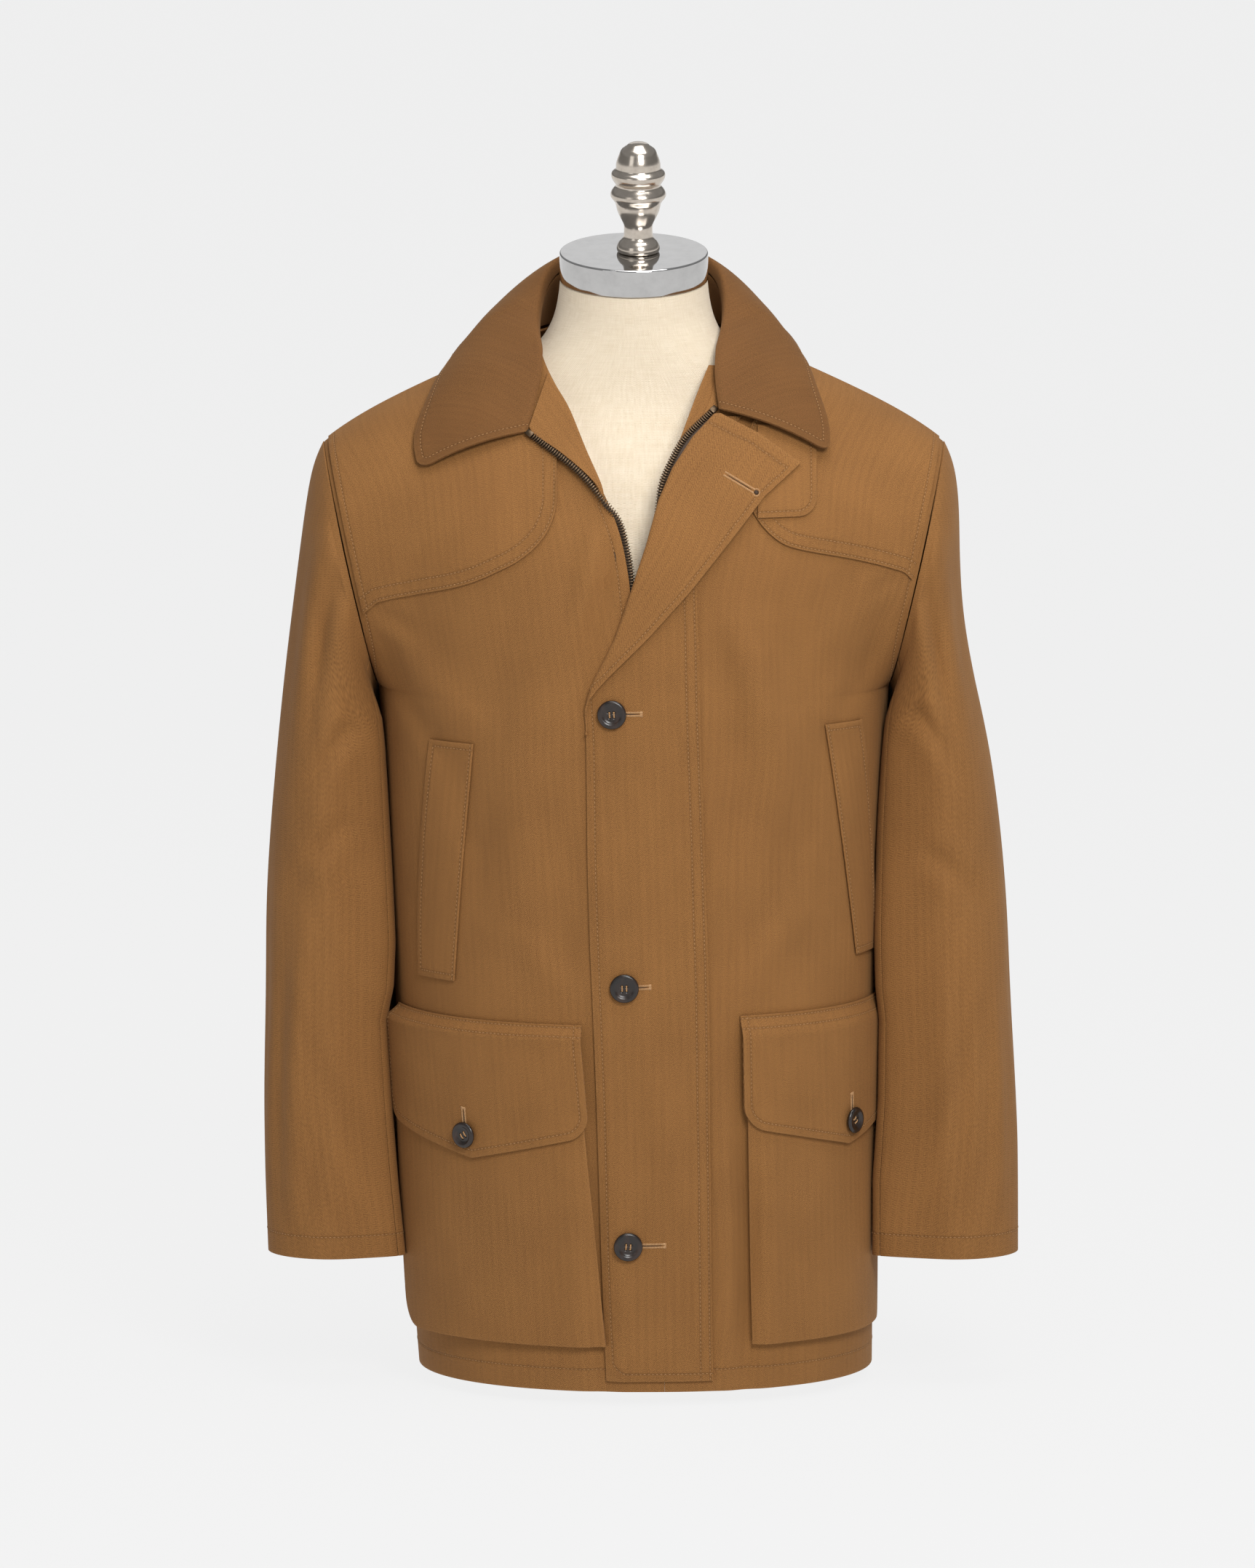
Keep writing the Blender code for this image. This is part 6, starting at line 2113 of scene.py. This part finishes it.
@dataclass(frozen=True)
class Buttons:
    """Horn buttons with a raised rim and four holes, their sewing thread and their buttonholes."""

    front_diameter: float = 0.023
    flap_diameter: float = 0.021
    thick: float = 4.2 * MM
    # Share of the radius and share of the thickness, from the middle of the face to the middle of the back.
    profile: Table = (
        (0.0, 0.60), (0.40, 0.61), (0.54, 0.66), (0.62, 0.80), (0.69, 0.96), (0.77, 1.00), (0.86, 0.99),
        (0.94, 0.88), (0.99, 0.68), (1.00, 0.52), (0.95, 0.30), (0.80, 0.04), (0.70, 0.0), (0.0, 0.0),
    )
    steps: int = 48
    clear: float = 0.5 * MM
    flap_clear: float = 0.3 * MM
    cloth: float = 1.6 * MM
    fly_lift: float = 2.8 * MM
    # x and height of each front button, then x of the end of its buttonhole.
    front: Table = ((-0.0170, 0.555, 0.0055), (-0.0075, 0.3375, 0.0120), (-0.0050, 0.130, 0.0240))
    hole_reach: float = 1.75 * MM
    hole_radius: float = 1.0 * MM
    hole_segments: int = 16
    # Thread over the face: shifts of its two strands and their half sizes.
    strands: Pair = (-0.3 * MM, 0.3 * MM)
    strand: Triple = (1.05 * hole_reach, 0.26 * MM, 0.30 * MM)
    strand_rise: float = 0.64
    # Thread in each hole and under the button: rise and half sizes.
    plug_rise: float = 0.38
    plug: Triple = (0.30 * thick, 0.8 * MM, 0.8 * MM)
    neck_drop: float = 0.6 * MM
    neck: Triple = (2.4 * MM, 2.4 * MM, 1.0 * MM)
    # How far a buttonhole starts from its button's middle, and how far a front one climbs.
    hole_start: float = 2 * MM
    hole_climb: float = 0.4 * MM
    flap_hole_end: float = 21 * MM
    flap_hole_rise: float = 0.1 * MM
    lapel_eye: tuple[Pair, Pair] = ((0.0696, 0.7375), (0.0925, 0.7240))
    lapel_lift: float = 7.6 * MM
    lapel_eyelet: float = 2.3 * MM
    probe: float = 2 * MM

    @property
    def spots(self) -> list[Pair]:
        """The places of the holes."""
        return [(x * self.hole_reach, y * self.hole_reach) for x in (-1, 1) for y in (-1, 1)]

    def drill(self, piece: bpy.types.Object, stand: Matrix) -> None:
        """Cuts the four holes through a button that stands at a place.

        Args:
            piece: the button.
            stand: its place.
        """
        cutter = bmesh.new()
        size = {"radius1": self.hole_radius, "radius2": self.hole_radius, "depth": 4 * self.thick}
        for x, y in self.spots:
            place = Matrix.Translation((x, y, 0.0))
            bmesh.ops.create_cone(cutter, cap_ends=True, segments=self.hole_segments, matrix=place, **size)
        bmesh.ops.transform(cutter, matrix=stand, verts=cutter.verts)
        drill = add_object("button_drill", to_mesh("button_drill", cutter))
        holes = piece.modifiers.new("Holes", "BOOLEAN")
        holes.object = drill
        holes.solver = "EXACT"
        bpy.context.view_layer.update()
        drilled = bpy.data.meshes.new_from_object(piece.evaluated_get(bpy.context.evaluated_depsgraph_get()))
        piece.modifiers.clear()
        piece.data = drilled
        bpy.data.objects.remove(drill)

    def button(self, name: str, diameter: float, place: Array, normal: Array) -> None:
        """One button on the cloth, with its thread.

        Args:
            name: the name of its node.
            diameter: its outside diameter.
            place: the middle of its back.
            normal: the way out of the cloth.
        """
        turned = Vector((0, 0, 1)).rotation_difference(Vector(normal)).to_matrix().to_4x4()
        stand = Matrix.Translation(Vector(place)) @ turned
        shape = spun([(share * diameter / 2, rise * self.thick) for share, rise in self.profile], self.steps)
        bmesh.ops.transform(shape, matrix=stand, verts=shape.verts)
        piece = add_piece(name + "_horn", shape, HORN)
        self.drill(piece, stand)
        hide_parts(name)
        right, up = (turned.to_3x3() @ Vector(way) for way in ((1, 0, 0), (0, 1, 0)))
        sewn = bmesh.new()

        def wind(along: Vector, out: Vector, middle: Vector, size: Triple, segments: int) -> None:
            """Adds one rounded bundle of thread."""
            matrix = basis(along, out, middle, size)
            bmesh.ops.create_uvsphere(sewn, u_segments=segments, v_segments=6, radius=1.0, matrix=matrix)

        for x in (-self.hole_reach, self.hole_reach):
            for shift in self.strands:
                wind(up, normal, stand @ Vector((x + shift, 0.0, self.strand_rise * self.thick)), self.strand, 10)
        for x, y in self.spots:
            wind(normal, right, stand @ Vector((x, y, self.plug_rise * self.thick)), self.plug, 8)
        wind(right, normal, Vector(place) - Vector(normal) * self.neck_drop, self.neck, 12)
        add_piece(name + "_thread", sewn, BUTTON_THREAD)

    def build(self) -> None:
        """Makes the buttons and their buttonholes."""
        on_fly = functools.partial(TORSO.on_front, lift=self.fly_lift + self.cloth / 2)
        for number, (x, z, end) in enumerate(self.front, 1):
            base = TORSO.on_front(x, z, self.fly_lift)
            normal = TORSO.on_front(x, z, self.fly_lift + 1.0) - base
            out = self.cloth / 2 + self.clear
            self.button(f"front_button_{number}", self.front_diameter, base + normal * out, normal)
            ends = (x + self.hole_start, z), (end, z + self.hole_climb)
            Buttonhole(f"front_buttonhole_{number}", on_fly, *ends).build()
        for pocket in POCKETS:
            step = self.probe
            across = pocket.on_flap(step, 0.0) - pocket.on_flap(-step, 0.0)
            down = pocket.on_flap(0.0, step) - pocket.on_flap(0.0, -step)
            normal = unit(np.cross(across, down))
            normal = normal if normal[1] < 0 else -normal
            place = pocket.flap_points(*(np.array(share) for share in pocket.button_place))
            out = pocket.flap_wall / 2 + self.clear + self.flap_clear
            self.button(f"flap_button_{pocket.name}", self.flap_diameter, place + normal * out, normal)
            above_flap = normal * (pocket.flap_wall / 2 + self.flap_hole_rise)

            def on_flap(x: Array, z: Array, pocket: BellowsPocket = pocket, rise: Array = above_flap) -> Array:
                """Points just above the flap, across and up from its button."""
                return pocket.on_flap(x, -np.asarray(z)) + rise

            ends = (0.0, self.hole_start), (0.0, self.flap_hole_end)
            Buttonhole(f"flap_buttonhole_{pocket.name}", on_flap, *ends).build()
        on_lapel = functools.partial(TORSO.on_front, lift=self.lapel_lift + self.cloth / 2)
        Buttonhole("lapel_buttonhole", on_lapel, *self.lapel_eye, self.lapel_eyelet).build()


@dataclass(frozen=True)
class ZipHalf:
    """One half of the zip: its row of teeth, its tape and the facing that shows beside it."""

    name: str
    side: int
    # Height, x and lift of the open half, from its top.
    open_half: Table
    # Share of the way, then height and x at the neck side and at the zip side of the facing.
    facing: Table
    facing_lift: Pair
    # Heights where the tape starts to turn under its own front, and where it lies there.
    tape_turn: Pair
    tape_slope: float
    open_above: float
    facing_wall: float = 1.4 * MM
    facing_grid: tuple[int, int] = (18, 72)
    beside_heights: Triple = (0.705, 0.690, 0.672)
    beside: float = 2.9 * MM
    sunk: float = 0.4 * MM
    beside_sunk: float = 0.4 * MM
    radius: float = 1.6 * MM
    part_line: float = 0.35 * MM
    closed_top: float = 0.65
    foot: float = 0.060
    step: float = 0.05
    pitch: float = 2.3 * MM
    # Half sizes of a tooth, and the shares of them that its block and its blade have.
    tooth: Triple = (1.05 * MM, 2.6 * MM, 1.5 * MM)
    tooth_shares: tuple[Triple, Triple] = ((0.62, 0.62, 0.62), (0.40, 1.0, 0.5))
    tooth_edge: float = 0.12 * MM
    # Teeth stand higher where the zip is open: how much, and the lift where that is full.
    tooth_rise: float = 0.5 * MM
    rise_full: float = 2 * MM
    stop: Triple = (3.2 * MM, 2.4 * MM, 1.6 * MM)
    tape_width: float = 12.0 * MM
    # Share of the tape on the far side of the teeth, and the share by which it narrows where it turns.
    tape_far: float = 0.12
    tape_narrow: float = 0.9
    tape_columns: int = 6
    tape_sunk: float = 1.3 * MM
    tape_wall: float = 0.7 * MM

    def line(self) -> tuple[Array, Array, Array]:
        """The run of the teeth.

        Returns:
            Points at the pitch of the teeth, the way along and the way out at each.
        """
        places = [(x, z, lift) for z, x, lift in self.open_half]
        for z in self.beside_heights:
            places.append((float(PANELS.front_edge(z, self.side)) - self.side * self.beside, z, -self.beside_sunk))
        z = self.closed_top
        while z > self.foot:
            x = float(PANELS.zip_line_at(z)[0]) + self.side * (self.radius + self.part_line)
            places.append((x, z, -self.sunk))
            z -= self.step
        table = np.array(places)
        way = way_along(TORSO.on_front(*table.T))
        x, z, lift = Spline(np.column_stack([way, table]))(np.arange(0.0, way[-1], self.pitch))
        lift = lift + self.tooth_rise * smooth_step(lift / self.rise_full)
        points = TORSO.on_front(x, z, lift)
        outward = unit(TORSO.on_front(x, z, lift + MM) - points)
        return points, unit(np.gradient(points, axis=0)), outward

    def build(self) -> None:
        """Makes the teeth, the tape and the facing."""
        points, along, outward = self.line()
        shape = bmesh.new()
        for point, run, up in zip(points, along, outward):
            for shares in self.tooth_shares:
                size = tuple(share * half for share, half in zip(shares, self.tooth))
                bmesh.ops.create_cube(shape, size=2.0, matrix=basis(run, up, point, size))
        bmesh.ops.create_cube(shape, size=2.0, matrix=basis(along[0], outward[0], points[0], self.stop))
        rounding = {"affect": "EDGES", "segments": 1, "profile": 0.5, "material": -1}
        bmesh.ops.bevel(shape, geom=shape.edges[:], offset=self.tooth_edge, offset_type="OFFSET", **rounding)
        teeth = add_piece(f"zip_{self.name}_teeth", shape, BRASS)
        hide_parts(f"zip_{self.name}")
        bared = points[:, 2] > self.open_above
        aside = unit(np.cross(outward, along)) * self.side
        self.lay_tape(points[bared], aside[bared], outward[bared])
        self.lay_facing()

    def lay_tape(self, points: Array, aside: Array, outward: Array) -> None:
        """Makes the tape along the teeth that show.

        Args:
            points: the places of the teeth.
            aside: the way to the neck at each.
            outward: the way out of the cloth at each.
        """
        high, low = self.tape_turn
        turn = math.pi * smooth_step((high - points[:, 2]) / (high - low))[:, None]
        reach = (even(self.tape_columns)[:, None, None] - self.tape_far) * self.tape_width
        reach = reach * (1 - self.tape_narrow * np.sin(turn))
        sunk = self.tape_sunk + self.tape_slope * np.clip(reach, 0.0, None) * (1 + np.cos(turn)) / 2
        tape = points - outward * sunk - reach * (aside * np.cos(turn) + outward * np.sin(turn))
        band = add_piece(f"zip_{self.name}_tape", grid_of(tape)[0], TAPE_AND_SLIT_SHADE)
        add_wall(band, self.tape_wall)

    def lay_facing(self) -> None:
        """Makes the facing beside the zip."""
        columns, rows = self.facing_grid
        neck_z, neck_x, zip_z, zip_x = Spline(self.facing)(self.facing[-1][0] * even(rows))[..., None]
        u = even(columns)[None, :]
        lift = between(*self.facing_lift, u)
        points = TORSO.on_front(between(neck_x, zip_x, u), between(neck_z, zip_z, u), lift)
        middle = points.mean((0, 1))
        axes = np.linalg.svd((points - middle).reshape(-1, 3), full_matrices=False)[2]
        laid_flat = (points - middle) @ axes[[1, 0]].T
        facing = Cloth(f"facing_{self.name}", points, self.facing_wall, (), laid_flat, worn=(FIRST,))
        facing.build(COTTON, COTTON_SLOT, "laid", (f"front_{self.name}",))


ZIP_HALVES = (
    ZipHalf(
        "right",
        -1,
        (
            (0.7660, -0.0805, 5.8 * MM),
            (0.7550, -0.0635, 5.8 * MM),
            (0.7440, -0.0475, 5.8 * MM),
            (0.7320, -0.0345, 5.8 * MM),
            (0.7200, -0.0240, 4.6 * MM),
        ),
        (
            (0.0, 0.8110, -0.0665, 0.7710, -0.0810),
            (0.2, 0.7990, -0.0585, 0.7670, -0.0785),
            (0.4, 0.7870, -0.0505, 0.7640, -0.0740),
            (0.6, 0.7700, -0.0425, 0.7560, -0.0600),
            (0.8, 0.7520, -0.0345, 0.7455, -0.0450),
            (1.0, 0.7310, -0.0250, 0.7320, -0.0300),
            (1.15, 0.7225, -0.0238, 0.7240, -0.0256),
        ),
        (3.6 * MM, 5.8 * MM),
        (0.746, 0.706),
        0.14,
        0.640,
    ),
    ZipHalf(
        "left",
        1,
        (
            (0.7850, 0.0620, 2.8 * MM),
            (0.7760, 0.0506, 2.8 * MM),
            (0.7630, 0.0373, 2.8 * MM),
            (0.7480, 0.0285, 2.8 * MM),
            (0.7320, 0.0215, 2.8 * MM),
        ),
        (
            (0.00, 0.8180, 0.0590, 0.8180, 0.0720),
            (0.33, 0.7970, 0.0490, 0.7970, 0.0640),
            (0.67, 0.7720, 0.0386, 0.7720, 0.0500),
            (1.00, 0.7520, 0.0300, 0.7520, 0.0370),
        ),
        (0.0, -1.9 * MM),
        (2.0, 1.0),
        0.0,
        0.716,
        beside=-0.6 * MM,
        beside_sunk=2.8 * MM,
    ),
)


@dataclass(frozen=True)
class DressForm:
    """The limbless form: a padded torso covered in linen, with a chromed neck cap and a turned finial."""

    # Height, half width, depth to the front, depth to the back.
    rings: Table = (
        (0.000, 0.126, 0.072, 0.084),
        (0.080, 0.148, 0.114, 0.110),
        (0.200, 0.154, 0.128, 0.120),
        (0.340, 0.148, 0.126, 0.116),
        (0.480, 0.164, 0.138, 0.126),
        (0.580, 0.178, 0.145, 0.132),
        (0.660, 0.184, 0.134, 0.128),
        (0.715, 0.182, 0.112, 0.114),
        (0.755, 0.166, 0.086, 0.094),
        (0.785, 0.138, 0.067, 0.078),
        (0.808, 0.104, 0.060, 0.068),
        (0.828, 0.078, 0.058, 0.063),
        (0.850, 0.064, 0.0575, 0.060),
        (0.880, 0.0585, 0.0575, 0.0575),
    )
    roundness: float = 2.2
    # The neck gets round from a height on, over a run.
    neck_round: float = 2.0
    neck_round_from: float = 0.80
    neck_round_run: float = 0.06
    tilt: float = math.radians(9)
    tilt_from: float = 0.84
    # Length of linen round the form, which keeps the weave's size at the neck.
    linen_round: float = 0.372
    cap_diameter: float = 0.118
    cap_height: float = 0.0225
    cap_foot: float = 0.8805
    cap_edge: float = 1.6 * MM
    cap_edge_steps: int = 7
    # Shares of the way to the edge where the cap's top has points, and the way in and height round its foot.
    cap_top: tuple[float, ...] = (0.0, 0.4, 0.8, 0.98)
    cap_rim: Table = ((0.0, 0.8 * MM), (0.3 * MM, 0.2 * MM), (1.0 * MM, 0.0))
    finial_aside: float = 3.5 * MM
    finial_gap: float = 0.35 * MM
    # Least and most share of the straight outline that the smooth one may have.
    finial_slack: Pair = (0.93, 1.04)
    finial_rows: int = 72
    turned_steps: int = 96
    # Height above the foot, radius.
    finial: Table = (
        (0.0000, 0.0162),
        (0.0015, 0.0170),
        (0.0045, 0.0168),
        (0.0080, 0.0150),
        (0.0107, 0.0126),
        (0.0140, 0.0115),
        (0.0185, 0.0113),
        (0.0225, 0.0117),
        (0.0255, 0.0131),
        (0.0300, 0.0153),
        (0.0350, 0.0171),
        (0.0395, 0.0181),
        (0.0412, 0.0190),
        (0.0440, 0.0212),
        (0.0465, 0.0221),
        (0.0495, 0.0212),
        (0.0525, 0.0190),
        (0.0543, 0.0178),
        (0.0570, 0.0192),
        (0.0600, 0.0209),
        (0.0625, 0.0215),
        (0.0652, 0.0205),
        (0.0670, 0.0184),
        (0.0700, 0.0177),
        (0.0750, 0.0168),
        (0.0800, 0.0149),
        (0.0845, 0.0119),
        (0.0875, 0.0081),
        (0.0890, 0.0046),
        (0.0895, 0.0000),
    )
    columns: int = 128
    levels: int = 120
    level_power: float = 1.5

    def torso(self) -> None:
        """The padded torso with its neck, closed on a flat base."""
        ring_at = Spline(self.rings)
        top = self.rings[-1][0]
        z = top * (1 - (1 - even(self.levels)) ** self.level_power)[:, None]
        half_width, front, back = ring_at(z)
        rounding = smooth_step((z - self.neck_round_from) / self.neck_round_run)
        round_by = between(self.roundness, self.neck_round, rounding)
        angle = 2 * math.pi * even(self.columns)[None, :]
        sine, cosine = np.sin(angle), np.cos(angle)
        x = half_width * np.copysign(np.abs(sine) ** (2 / round_by), sine)
        depth = np.where(cosine > 0, front, back)
        y = -np.copysign(np.abs(cosine) ** (2 / round_by), cosine) * depth
        rise = math.tan(self.tilt) * smooth_step((z - self.tilt_from) / (top - self.tilt_from))
        points = np.stack([x, y, np.broadcast_to(z, x.shape) + y * rise], -1)
        steps = np.linalg.norm(np.diff(points, axis=0), axis=2).mean(1)
        way_up = np.concatenate([[0.0], np.cumsum(steps)])
        shape, spots = grid_of(points)
        cloth = shape.loops.layers.uv.new("cloth")
        for vertex, (row, column) in zip(shape.verts, spots):
            for loop in vertex.link_loops:
                loop[cloth].uv = (column / self.columns * self.linen_round, way_up[row])
        bmesh.ops.remove_doubles(shape, verts=shape.verts, dist=0.00005)
        bmesh.ops.holes_fill(shape, edges=[edge for edge in shape.edges if edge.is_boundary], sides=0)
        bmesh.ops.recalc_face_normals(shape, faces=shape.faces)
        piece = add_piece("linen_torso", shape, LINEN)
        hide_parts("form_torso")

    def turned(self, name: str, node: str, profile: Sequence[Pair], stand: Matrix, finish: TurnedMetal) -> None:
        """A turned piece.

        Args:
            name: its name.
            node: the node that it stands for.
            profile: radius and height from the top down.
            stand: its place.
            finish: its finish.
        """
        shape = spun(profile, self.turned_steps)
        bmesh.ops.transform(shape, matrix=stand, verts=shape.verts)
        piece = add_piece(name, shape, finish)
        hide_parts(node)

    def build(self) -> None:
        """Makes the torso, the cap and the finial."""
        self.torso()
        radius, edge, height = self.cap_diameter / 2, self.cap_edge, self.cap_height
        flat = [(share * (radius - edge), height) for share in self.cap_top]
        turns = math.pi / 2 * even(self.cap_edge_steps)
        lip = [(radius - edge * (1 - math.sin(turn)), height - edge * (1 - math.cos(turn))) for turn in turns]
        sides = [(radius, 0.5 * height), *((radius - inward, rise) for inward, rise in self.cap_rim)]
        lean = Matrix.Rotation(self.tilt, 4, "X")
        stand = Matrix.Translation((0.0, 0.0, self.cap_foot)) @ lean
        self.turned("chromed_neck_cap", "form_neck_cap", [*flat, *lip, *sides, (0.0, 0.0)], stand, CHROME)
        up = height + self.finial_gap
        place = (self.finial_aside, -math.sin(self.tilt) * up, self.cap_foot + math.cos(self.tilt) * up)
        heights = finer([row[0] for row in self.finial], self.finial_rows)
        straight = np.interp(heights, *np.array(self.finial).T)
        least, most = (share * straight for share in self.finial_slack)
        outline = np.clip(Spline(self.finial)(heights)[0], least, most)
        outline[-1] = 0.0
        profile = [*zip(outline[::-1], heights[::-1]), (0.0, 0.0)]
        self.turned("nickel_finial", "form_finial", profile, Matrix.Translation(place) @ lean, NICKEL)


@dataclass(frozen=True)
class Studio:
    """A plain pale floor that curves up all round, soft light from four soft boxes, and the camera."""

    distance: float = 12.0
    elevation: float = math.radians(8.2)
    target: Triple = (-0.005, 0.0, 0.4756)
    view_height: float = 1.25
    sensor: float = 36.0
    farthest: float = 100.0
    floor_radius: float = 14.0
    wall_radius: float = 4.0
    wall_height: float = 7.0
    floor_rings: int = 12
    floor_steps: int = 96
    # Name, place, side and watts of each soft box; all face the same place.
    lights: tuple[tuple[str, Triple, float, float], ...] = (
        ("soft_box_left", (-2.6, -3.4, 2.2), 1.6, 8.0),
        ("soft_box_right", (1.0, -3.4, 2.7), 1.4, 108.0),
        ("soft_box_top", (0.3, -0.5, 3.0), 1.6, 38.0),
        ("soft_box_back", (0.0, 2.6, 2.2), 1.5, 4.0),
    )
    light_aim: Triple = (0.0, 0.0, 0.55)
    sky_colour: str = "#F2F3F5"
    sky_strength: float = 0.33

    def camera(self) -> None:
        """The camera at the photograph's angle."""
        data = bpy.data.cameras.new("camera")
        data.sensor_width = self.sensor
        data.lens = self.sensor * self.distance / self.view_height
        data.clip_end = self.farthest
        camera = add_object("camera", data)
        away = Vector((0.0, -math.cos(self.elevation), math.sin(self.elevation)))
        camera.location = Vector(self.target) + away * self.distance
        camera.rotation_euler = (math.pi / 2 - self.elevation, 0.0, 0.0)
        bpy.context.scene.camera = camera

    def sweep(self) -> None:
        """The round floor that curves up into a low wall, beyond the camera on every side."""
        profile = [(share * self.floor_radius, 0.0) for share in even(self.floor_rings)]
        for turn in np.pi / 2 * even(self.floor_rings)[1:]:
            out, rise = self.wall_radius * math.sin(turn), self.wall_radius * (1 - math.cos(turn))
            profile.append((self.floor_radius + out, rise))
        profile.append((self.floor_radius + self.wall_radius, self.wall_height))
        shape = spun(profile, self.floor_steps)
        bmesh.ops.reverse_faces(shape, faces=shape.faces)
        mesh = to_mesh("studio_floor", shape)
        mesh.shade_smooth()
        mesh.materials.append(OPAL.material)
        add_object("studio_floor", mesh)

    def light(self, name: str, place: Triple, size: float, power: float) -> None:
        """One soft box that faces the coat.

        Args:
            name: its name.
            place: where it stands.
            size: its side.
            power: its power in watts.
        """
        data = bpy.data.lights.new(name, "AREA")
        data.shape = "SQUARE"
        data.size = size
        data.energy = power
        lamp = add_object(name, data)
        lamp.location = place
        lamp.rotation_euler = (Vector(self.light_aim) - Vector(place)).to_track_quat("-Z", "Y").to_euler()

    def build(self) -> None:
        """Makes the camera, the sweep and the light."""
        self.camera()
        self.sweep()
        for light in self.lights:
            self.light(*light)
        world = bpy.data.worlds.new("studio")
        world.use_nodes = True
        inputs = {"Color": to_linear(self.sky_colour), "Strength": self.sky_strength}
        feed(world.node_tree, world.node_tree.nodes["Background"], inputs)
        bpy.context.scene.world = world
        bpy.context.scene.view_settings.view_transform = "Standard"


def main() -> None:
    """Builds the studio, the form and every piece of the coat."""
    logging.basicConfig(level=logging.INFO, format="%(message)s")
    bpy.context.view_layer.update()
    Studio().build()
    DressForm().build()
    PANELS.build()
    Sleeves().build()
    Collar().build()
    ShoulderPatches().build()
    StormFly().build()
    Welts().build()
    for pocket in POCKETS:
        pocket.build()
    for half in ZIP_HALVES:
        half.build()
    Buttons().build()


if __name__ == "__main__":
    main()
